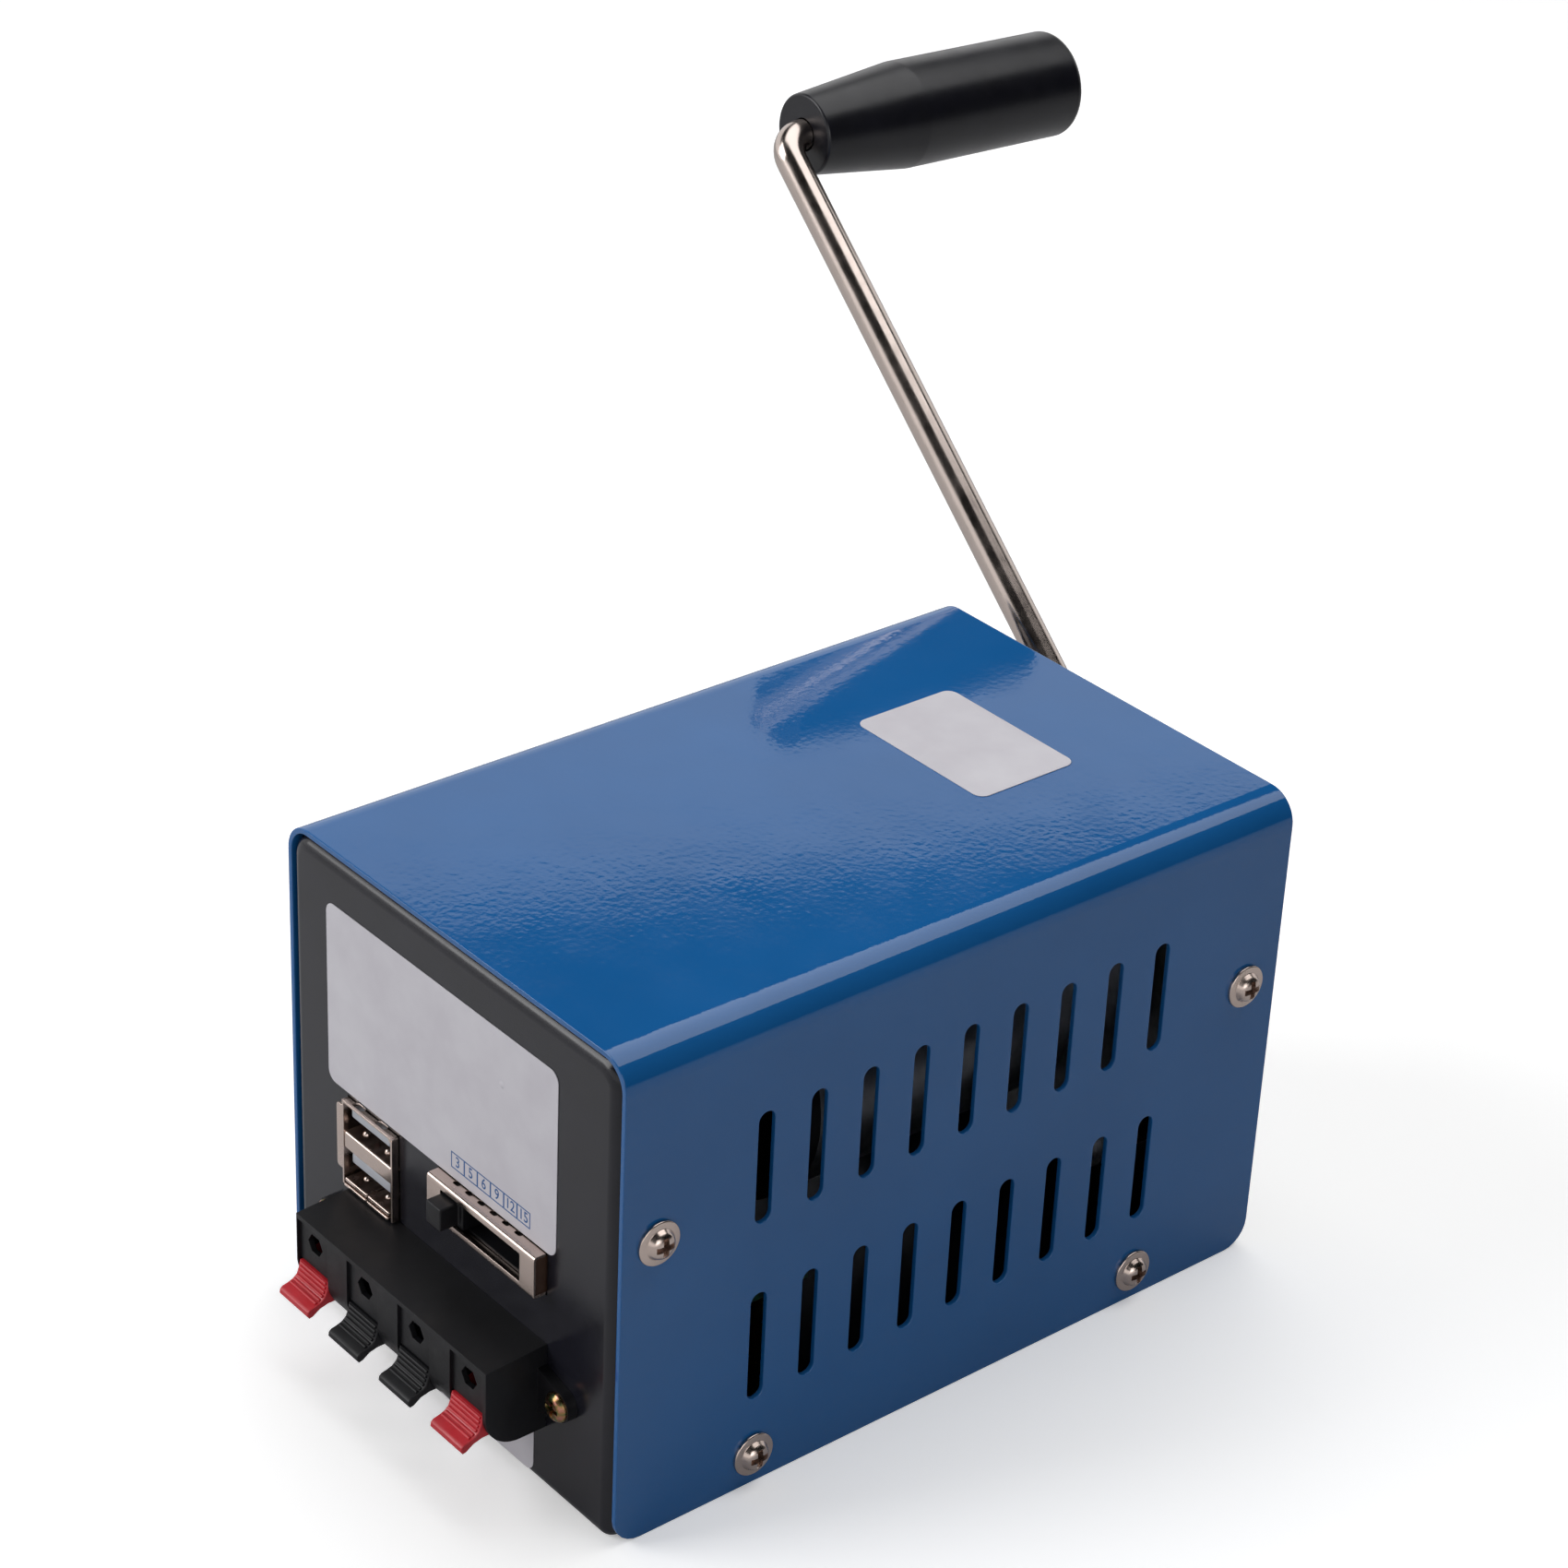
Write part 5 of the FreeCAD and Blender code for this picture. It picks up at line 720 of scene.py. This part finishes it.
SCREW_SHANK = 1.5 * MM
SCREW_LENGTH = 6 * MM
SCREW_SHARP = 25    # degrees at which a screw's shading breaks


def cross_cutter(reach, width, depth):
    """A cross that points down from z = 0 and tapers, to cut a screw's recess."""
    foot_reach = 0.45 * reach
    foot_width = 0.7 * width
    bm = bmesh.new()
    for turn in (0, math.pi / 2):
        made = bmesh.ops.create_cube(bm, size=2)["verts"]
        for vertex in made:
            below = vertex.co.z < 0
            vertex.co.x *= foot_reach if below else reach
            vertex.co.y *= (foot_width if below else width) / 2
            vertex.co.z = -depth if below else depth / 2
        bmesh.ops.rotate(bm, verts=made, matrix=Matrix.Rotation(turn, 3, "Z"))
    mesh = bpy.data.meshes.new("cross")
    bm.to_mesh(mesh)
    bm.free()
    return mesh


def without(mesh, cutter):
    """A mesh with another one cut away."""
    obj = temporary("body", mesh)
    tool = temporary("tool", cutter)
    cutting = obj.modifiers.new("cut", "BOOLEAN")
    cutting.operation = "DIFFERENCE"
    cutting.solver = "EXACT"
    cutting.use_self = True
    cutting.object = tool
    result = as_mesh(obj)
    bpy.data.objects.remove(tool)
    return tidy(result)


def cross_screw(head, top, recess):
    """A screw on +Z. Head is the outline of its head, recess is (reach, width, depth) of its
    cross, and the shank is added under the head."""
    shank = ((SCREW_SHANK, 0), (SCREW_SHANK, -SCREW_LENGTH), (0, -SCREW_LENGTH))
    solid = turned(rounded_profile(head + shank), 48)
    cutter = moved(cross_cutter(*recess), Matrix.Translation((0, 0, top)))
    return without(solid, cutter)


def washer_head_screw():
    """A cover screw: a domed head on a washer face of its own."""
    top = 2.2 * MM
    washer = 3.9 * MM
    head = ((0, top), (1.9 * MM, 2.1 * MM, 1.6 * MM), (2.7 * MM, 0.72 * MM, 0.12 * MM),
            (washer, 0.62 * MM, 0.25 * MM), (washer, 0.0))
    return cross_screw(head, top, (2.2 * MM, 1.2 * MM, 1.8 * MM))


def pan_head_screw(radius, height):
    """A screw with a low rounded head, and a cross in proportion to it."""
    head = ((0, height), (radius * 0.72, height * 0.97, height * 0.6),
            (radius, height * 0.35, height * 0.2), (radius, 0))
    return cross_screw(head, height, (radius * 0.75, radius * 0.3, height * 0.75))


def make_screws():
    """Four cover screws on each side, and the two that hold the terminal block."""
    places = []
    for y, z in SCREW_PLACES:
        places.append(((cover_high.x, y, z), FACING["right"]))
        places.append(((-cover_high.x, y, z), FACING["left"]))
    screws = copies(washer_head_screw(), places, "nickel")
    piece("cover_screw_set", screws, "case", "nickel", ["cover_screws"], SCREW_SHARP)

    low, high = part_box("terminal_screws")
    ear_front = -71.3 * MM
    node_head = 2.9 * MM
    height = (low.z + high.z) / 2
    places = [((x, ear_front, height), FACING["front"])
              for x in (low.x + node_head, high.x - node_head)]
    screws = copies(pan_head_screw(2.55 * MM, 1.3 * MM), places, "yellow_zinc")
    piece("terminal_screw_set", screws, "case", "yellow_zinc", ["terminal_screws"], SCREW_SHARP)


# ---------------------------------------------------------------- USB socket

usb_low, usb_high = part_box("usb_shell")
USB_SHEET = 0.45 * MM
USB_EDGE = 0.08 * MM
USB_LEFT = -27.9 * MM    # outside of the left wall, from which the lip flares out
BRIDGE_HEIGHTS = (36.2 * MM, 39.55 * MM)


def folded_channel(loops, thickness, start, runs):
    """A sheet folded in the (y, z) plane, whose path starts towards the front. Loops are in
    (length along the path, x)."""
    edge = 0.06 * MM
    sheet = fold(blank(loops, thickness, edge), thickness, start, 180, runs, 6)
    swap_x_y = Matrix(((0, 1, 0, 0), (1, 0, 0, 0), (0, 0, 1, 0), (0, 0, 0, 1)))
    return tidy(moved(sheet, swap_x_y))


def usb_walls():
    """Both side walls, the roof with its two notches, and the rolled corner on the right."""
    front, back, top, right = usb_low.y, usb_high.y, usb_high.z, usb_high.x
    below_top = 0.5 * MM
    roof_inset = 0.25 * MM
    curl = 0.55 * MM
    curl_inset = 0.1 * MM
    half_notch = 1.3 * MM
    notch_ends = (-70.35 * MM, -69.3 * MM)
    left_wall = rectangle(USB_LEFT, USB_LEFT + USB_SHEET, usb_low.z, top)
    right_wall = rectangle(right - USB_SHEET, right, usb_low.z, top - below_top)
    roof = [rectangle(USB_LEFT, right - roof_inset, front, back, 0.35 * MM)]
    roof += [rectangle(x - half_notch, x + half_notch, *notch_ends, 0.4 * MM)
             for x in (-24.3 * MM, -17.9 * MM)]
    corner = [Vector((right - curl, y, top - curl)) for y in (front + curl_inset, back)]
    return [plate([left_wall], back - front, USB_EDGE, "front", back),
            plate([right_wall], back - front, USB_EDGE, "front", back),
            plate(roof, USB_SHEET, USB_EDGE, "top", top - USB_SHEET),
            tube(corner, curl, 6)]


def usb_sill():
    """The two layers of the floor, split in the middle, which reach out in front."""
    layers = ((0, 0.35 * MM, 0.55 * MM), (0.75 * MM, 0.1 * MM, 0.75 * MM))
    middle = (USB_LEFT + usb_high.x) / 2
    half_split = 0.12 * MM
    halves = ((USB_LEFT + 0.75 * MM, middle - half_split),
              (middle + half_split, usb_high.x - 1.0 * MM))
    parts = []
    for rise, out, thickness in layers:
        floor = [rectangle(left, right, usb_low.y - out, usb_high.y, 0.3 * MM)
                 for left, right in halves]
        parts.append(plate(floor, thickness, thickness * 0.3, "top", usb_low.z + rise))
    return parts


def usb_bridge():
    """The sheet between the two mouths, folded back above and below."""
    low, high = BRIDGE_HEIGHTS
    radius = 0.5 * MM
    inset = 0.15 * MM
    flange = usb_high.y - usb_low.y - 4 * MM
    face = high - low - 2 * radius
    total = 2 * flange + math.pi * radius + face
    outline = rectangle(0, total, USB_LEFT + USB_SHEET, usb_high.x - USB_SHEET)
    start = (usb_low.y + inset + radius + flange, low)
    bend = (radius, 90)
    return folded_channel([outline], USB_SHEET, start, [flange, bend, face, bend, flange])


def usb_lip():
    """The lip that flares out from the left wall."""
    heights = (31.9 * MM, 44.4 * MM)
    radius = 0.8 * MM
    root = 3 * MM
    inside = USB_LEFT + USB_SHEET
    start = (inside, usb_low.y + 3.9 * MM)
    reach = inside - usb_low.x - radius
    total = root + math.pi / 2 * radius + reach
    sheet = blank([rectangle(0, total, *heights, 0.7 * MM)], USB_SHEET, USB_EDGE)
    fold(sheet, USB_SHEET, start, 270, [root, (radius, 90), reach])
    swap_y_z = Matrix(((1, 0, 0, 0), (0, 0, 1, 0), (0, 1, 0, 0), (0, 0, 0, 1)))
    return tidy(moved(sheet, swap_y_z))


def usb_dots():
    """The raised dots, two on the sill and two on the bridge."""
    levels = (usb_low.z + 1.35 * MM, BRIDGE_HEIGHTS[1])
    row = -68.3 * MM
    size = 1.6
    dot = turned([(0, 0.42 * MM), (0.2 * MM, 0.37 * MM), (0.37 * MM, 0.2 * MM),
                  (0.42 * MM, 0), (0, 0)], 16)
    places = [((x, row, level), FACING["up"])
              for x in (-24.5 * MM, -18.2 * MM) for level in levels]
    return copies(dot, places, "nickel", size)


def make_usb_shell():
    """The double socket's pressed shell."""
    parts = usb_walls() + usb_sill() + [usb_bridge(), usb_lip(), usb_dots()]
    piece("usb_shell_pressing", joined(parts), "case", "nickel", ["usb_shell"])


# ---------------------------------------------------------------- slide switch

SWITCH_PLACES = [x * MM for x in (3.3, 6.6, 9.9, 13.2, 16.5, 19.8)]


def make_switch_frame():
    """The switch's folded frame, with its window and a notch at each of its six places."""
    low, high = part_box("switch_frame")
    sheet = 0.5 * MM
    corner = 0.5 * MM
    lower_bend = 0.55 * MM
    upper_bend = 0.65 * MM
    window_ends = (1.6 * MM, 22.9 * MM)
    notch_row = -69.85 * MM
    half_deep = 0.5 * MM
    half_wide = 0.75 * MM
    depth = high.y - low.y
    face = high.z - low.z - lower_bend - upper_bend
    front_starts = depth - lower_bend + math.pi / 2 * lower_bend
    total = front_starts + face + math.pi / 2 * upper_bend + depth - upper_bend
    window = [front_starts + z - low.z - lower_bend for z in (39.65 * MM, 44.95 * MM)]
    row = total - (high.y - notch_row)
    loops = [rectangle(0, total, low.x, high.x, corner),
             rectangle(*window, *window_ends, 0.4 * MM)]
    loops += [rectangle(row - half_deep, row + half_deep, x - half_wide, x + half_wide, 0.35 * MM)
              for x in SWITCH_PLACES]
    folded = folded_channel(loops, sheet, (high.y, low.z), [
        depth - lower_bend, (lower_bend, 90), face, (upper_bend, 90), depth - upper_bend])
    piece("switch_frame_folded", folded, "case", "nickel", ["switch_frame"])


def make_switch_base():
    """The laminate base: a board and two end walls. Between them are a dark well and, on its
    floor, a contact rivet at each place."""
    low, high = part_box("switch_base")
    board = 1.5 * MM
    wall = 2.4 * MM
    edge = 0.1 * MM
    depth = high.y - low.y - board
    base = [plate([rectangle(low.x, high.x, low.z, high.z)], board, edge, "front", high.y)]
    for left in (low.x, high.x - wall):
        outline = rectangle(left, left + wall, low.z, high.z)
        base.append(plate([outline], depth, edge, "front", high.y - board))
    piece("switch_base_laminate", joined(base), "case", "phenolic", ["switch_base"])

    floor = 1.2 * MM
    well_wall = 0.6 * MM
    play = 0.1 * MM
    edge = 0.08 * MM
    floor_front = high.y - board - floor
    opening = rectangle(low.x + wall, high.x - wall, low.z + play, high.z - play)
    hollow = rectangle(low.x + wall + well_wall, high.x - wall - well_wall,
                       low.z + well_wall, high.z - well_wall)
    well = [plate([opening], floor, edge, "front", high.y - board),
            plate([opening, hollow], depth - 2.6 * MM, edge, "front", floor_front)]
    piece("switch_well", joined(well), "case", "black_plastic")
    rivet = turned([(0, 0.25 * MM), (0.3 * MM, 0.2 * MM), (0.5 * MM, 0), (0, 0)], 12)
    places = [((x, floor_front, 40.8 * MM), FACING["front"]) for x in SWITCH_PLACES]
    piece("switch_contact_rivets", copies(rivet, places, "brass_part"), "case", "brass_part")


# ---------------------------------------------------------------- crank rod and grip

SHAFT_HEIGHT = 45.0 * MM
ROD_RADIUS = 3.0 * MM
ROD_BEND = 4.8 * MM
HUB_END = Vector((0, 87.3, 45.0)) * MM
ARM_END = Vector((-115.19, 87.3, 151.67)) * MM
GRIP_AXIS = Vector((0.0205, 0.9996, -0.0190)).normalized()
GRIP_START = 5.4 * MM
GRIP_LENGTH = 61.8 * MM


def on_axis(mesh, start, direction):
    """Sets a mesh that points along +Z at a start point, pointing in a direction."""
    turn = direction.to_track_quat("Z", "Y").to_matrix().to_4x4()
    return moved(mesh, Matrix.Translation(start) @ turn)


def make_crank_rod():
    """One round rod: out of the shaft, up the arm and along the grip's axis."""
    low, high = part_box("crank_rod")
    hub = Vector((0, low.y, SHAFT_HEIGHT))
    reach = (high.y - ARM_END.y) / GRIP_AXIS.y
    path = rounded_path([hub, HUB_END, ARM_END, ARM_END + GRIP_AXIS * reach], ROD_BEND, 16)
    piece("crank_rod_bar", tube(path, ROD_RADIUS), "crank", "rod_steel", ["crank_rod"])


def make_grip():
    """The turned grip: a cone that runs into a cylinder, a bore, and a pocket for its cap."""
    bore = 3.2 * MM
    thin, thick, pocket = 7.7 * MM, 10.3 * MM, 6.05 * MM
    cone_end = 22.7 * MM
    pocket_floor = GRIP_LENGTH - 14 * MM
    body = turned(rounded_profile((
        (bore, 0), (thin, 0, 0.6 * MM), (thick, cone_end, 6 * MM),
        (thick, GRIP_LENGTH, 1.6 * MM), (pocket, GRIP_LENGTH, 0.3 * MM),
        (pocket, pocket_floor), (bore, pocket_floor), (bore, 0),
    ), 8), 128)
    piece("grip_sleeve", on_axis(tidy(body), ARM_END + GRIP_AXIS * GRIP_START, GRIP_AXIS),
          "grip", "grip_plastic", ["grip"])


# ---------------------------------------------------------------- terminal block

def softened_node(node, width_mm):
    """A piece with broken edges that stands for a node."""
    slot = next(part["material_slot"] for part in frame["record"]["subparts"]
                if part["node"] == node)
    body = nodes[node]["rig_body"]
    return piece(node + "_formed", softened(node, width_mm), body, slot, [node])


def make_terminal_body():
    """The block with broken edges. Its two ears are drawn in round their screws."""
    ear_radius = 4.2 * MM
    ear_height = 21 * MM
    inward = 5.2 * MM    # how far an ear reaches from its screw towards the block
    front = -71.6 * MM   # the ears lie behind this
    share = 0.66
    block = softened_node("terminal_body", 0.35)
    low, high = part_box("terminal_body")
    for side, end in ((-1, low.x), (1, high.x)):
        ear = Vector((end - side * ear_radius, 0, ear_height))
        for vertex in block.data.vertices:
            outward = side * (vertex.co.x - ear.x)
            if outward > -inward and vertex.co.y > front:
                if outward > 0:
                    vertex.co.x = ear.x + (vertex.co.x - ear.x) * share
                vertex.co.z = ear.z + (vertex.co.z - ear.z) * share


# Side view of a lever in millimetres, (y, z), and the places of the ribs on its slope.
LEVER_PROFILE = (
    (-80.95, 19.3), (-81.25, 17.9), (-81.7, 16.7), (-82.5, 16.0), (-83.5, 15.65), (-84.5, 15.45),
    (-85.0, 15.0), (-85.1, 14.3), (-84.7, 13.7), (-84.0, 13.85), (-82.6, 14.8), (-81.0, 15.2),
    (-78.6, 15.2), (-76.1, 17.4), (-76.1, 21.5), (-78.5, 20.6), (-79.2, 19.3),
)
LEVER_RIBS = ((-81.05, 18.9), (-81.2, 18.1), (-81.42, 17.35), (-81.78, 16.66),
              (-82.35, 16.1), (-83.05, 15.8))
LEVER_COLOURS = ("red_plastic", "black_plastic", "black_plastic", "red_plastic")


def make_levers():
    """The four clamp levers: an arm with a lip, a hub on the pivot rod, and ribs for the finger."""
    profile = [(y * MM, z * MM) for y, z in LEVER_PROFILE]
    pivot_y, pivot_z = -74.5 * MM, 19.5 * MM
    radius = 2.6 * MM
    rib_radius = 0.3 * MM
    rib_inset = 0.5 * MM
    edge = 0.22 * MM
    for number, colour in enumerate(LEVER_COLOURS, 1):
        node = f"lever_{number}"
        low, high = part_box(node)
        width = high.x - low.x
        arm = plate([profile], width, edge, "side", low.x)
        hub = turned(((0, 0), (radius, 0), (radius, width), (0, width)), 32)
        pivot = Matrix.Translation((low.x, pivot_y, pivot_z)) @ Matrix.Rotation(math.pi / 2, 4, "Y")
        half = width / 2 - rib_inset
        rib = tube([Vector((0, 0, -half)), Vector((0, 0, half))], rib_radius, 3)
        middle = (low.x + high.x) / 2
        places = [((middle, y * MM, z * MM), FACING["right"]) for y, z in LEVER_RIBS]
        lever = joined([arm, moved(hub, pivot), copies(rib, places, colour)])
        piece(f"{node}_moulding", lever, f"{node}_body", colour, [node])


# ---------------------------------------------------------------- stage

FLOOR_MIRRORED = 0.4      # share of the white background that a mirrored floor shows
FLOOR_LIFT = 0.3          # light of its own, which keeps the seen floor pale
FLOOR_FADE = (0.45, 1.1)  # where the floor begins to fade, and where it has gone
LAMP_AIM = Vector((0, 0, 0.05))
# Each lamp: name, place, size, power.
LAMPS = (
    ("lamp_above", (-0.1, 0.35, 1.15), (1.3, 1.1), 9.5),
    ("lamp_front_left", (-0.75, -1.1, 0.9), (0.9, 0.9), 13),
    ("lamp_right", (1.5, -0.7, 0.8), (0.9, 0.9), 5),
)


def flat(name, corners, height):
    """A level sheet of the studio, which isn't part of the object."""
    mesh = bpy.data.meshes.new(name)
    mesh.from_pydata([(x, y, height) for x, y in corners], [], [range(len(corners))])
    obj = temporary(name, mesh)
    return obj


def background_rays(tree, share=1.0):
    """One for the rays that should meet the white background: seen, or, by a share, mirrored or
    let through."""
    rays = add(tree, "ShaderNodeLightPath").outputs
    either = add(tree, "ShaderNodeMath",
                 [(0, rays["Is Glossy Ray"]), (1, rays["Is Transmission Ray"])],
                 operation="MAXIMUM").outputs[0]
    mirrored = add(tree, "ShaderNodeMath", [(0, either)], operation="MULTIPLY")
    mirrored.inputs[1].default_value = share
    return add(tree, "ShaderNodeMath", [(0, rays["Is Camera Ray"]), (1, mirrored.outputs[0])],
               operation="MAXIMUM").outputs[0]


def floor_paper():
    """Matt white paper that keeps the object's shadow and fades into the background."""
    material, tree, paper = finish("matt_white_paper", "#ffffff", roughness=0.9,
                                   Specular_IOR_Level=0.0)
    shade = add(tree, "ShaderNodeMix", [("Factor", background_rays(tree, FLOOR_MIRRORED))],
                data_type="RGBA")
    shade.inputs[6].default_value = linear("#b4b4b6")
    shade.inputs[7].default_value = linear("#ffffff")
    tree.links.new(shade.outputs[2], paper.inputs["Base Color"])
    seen = add(tree, "ShaderNodeLightPath").outputs["Is Camera Ray"]
    lift = add(tree, "ShaderNodeMath", [(0, seen)], operation="MULTIPLY")
    lift.inputs[1].default_value = FLOOR_LIFT
    paper.inputs["Emission Color"].default_value = linear("#ffffff")
    tree.links.new(lift.outputs[0], paper.inputs["Emission Strength"])
    place = add(tree, "ShaderNodeTexCoord").outputs["Object"]
    away = add(tree, "ShaderNodeVectorMath", [(0, place)], operation="LENGTH").outputs["Value"]
    fade = add(tree, "ShaderNodeMapRange", [("Value", away)], interpolation_type="SMOOTHSTEP",
               From_Min=FLOOR_FADE[0], From_Max=FLOOR_FADE[1])
    far = add(tree, "ShaderNodeMath", [(0, fade.outputs["Result"]), (1, seen)],
              operation="MULTIPLY")
    white = add(tree, "ShaderNodeEmission", Color=(1, 1, 1, 1), Strength=1.0)
    both = add(tree, "ShaderNodeMixShader",
               [(0, far.outputs[0]), (1, paper.outputs[0]), (2, white.outputs[0])])
    tree.links.new(both.outputs[0], tree.nodes["Material Output"].inputs["Surface"])
    return material


def make_floor():
    """A large sheet of paper under the object."""
    corners = [(-3, -3), (3, -3), (3, 3), (-3, 3)]
    floor = flat("studio_floor", corners, cad_box[0][2])
    floor.data.materials.append(floor_paper())


def make_dark_cloths():
    """The studio's dark ceiling, and a dark curtain behind on the right, for glossy faces to
    mirror. The ceiling's left edge is where the pale part of such a mirror image ends."""
    height = 1.5
    width = 3.4
    edges = [(-2.06, 0.9), (-1.5, 2.3), (3, 3), (3, -3), (-2.06, -3)]
    ceiling = flat("studio_ceiling", edges, height)
    curtain = flat("studio_curtain", [(0, 0), (width, 0), (width, height), (0, height)], 0)
    foot = Matrix.Translation((0.5, 2.9, cad_box[0][2])) @ Matrix.Rotation(-0.9, 4, "Z")
    curtain.data.transform(foot @ Matrix.Rotation(math.pi / 2, 4, "X"))
    material, _, _ = finish("matt_black_cloth", "#0c0c0d", roughness=1.0, Specular_IOR_Level=0.0)
    for obj in (ceiling, curtain):
        obj.data.materials.append(material)
        obj.visible_camera = False


def make_lamp(name, place, size, power):
    """A soft rectangular lamp that points at the object and isn't seen by the camera."""
    light = bpy.data.lights.new(name, "AREA")
    light.shape = "RECTANGLE"
    light.size, light.size_y = size
    light.energy = power
    obj = temporary(name, light)
    obj.location = place
    obj.rotation_euler = (LAMP_AIM - Vector(place)).to_track_quat("-Z", "Y").to_euler()
    obj.visible_camera = False


def make_lights():
    """A soft grey world that looks white where it is seen or mirrored, and three lamps."""
    world = bpy.data.worlds.new("studio")
    bpy.context.scene.world = world
    world.use_nodes = True
    tree = world.node_tree
    soft = tree.nodes["Background"]
    soft.inputs["Color"].default_value = (0.5, 0.5, 0.505, 1)
    white = add(tree, "ShaderNodeBackground", Color=(1, 1, 1, 1))
    shown = add(tree, "ShaderNodeMixShader",
                [(0, background_rays(tree)), (1, soft.outputs[0]), (2, white.outputs[0])])
    tree.links.new(shown.outputs[0], tree.nodes["World Output"].inputs["Surface"])
    for settings in LAMPS:
        make_lamp(*settings)


def make_camera():
    """The camera in front on the right, above the object."""
    camera = bpy.data.cameras.new("camera")
    camera.lens = 91.47
    camera.sensor_width = 36
    camera.clip_start = 0.01
    obj = temporary("camera", camera)
    right = (0.63236, 0.77360, 0.04082)
    up = (-0.40034, 0.28123, 0.87214)
    back = (0.66321, -0.56785, 0.48754)
    place = (0.42769, -0.36932, 0.40984)
    obj.matrix_world = Matrix((*zip(right, up, back, place), (0, 0, 0, 1)))
    bpy.context.scene.camera = obj


# ---------------------------------------------------------------- the whole

for part in frame["record"]["subparts"]:
    materials = nodes[part["node"]].data.materials
    for index in range(len(materials)):
        materials[index] = FINISHES[part["material_slot"]]

make_cover()
make_stickers()
make_scale_print()
make_screws()
make_crank_rod()
make_grip()
make_levers()
make_usb_shell()
make_switch_frame()
make_switch_base()
make_terminal_body()
softened_node("chassis", 0.15)
softened_node("usb_tongues", 0.25)
softened_node("switch_knob", 0.3)
make_floor()
make_dark_cloths()
make_lights()
make_camera()

view = bpy.context.scene.view_settings
view.view_transform = "Standard"
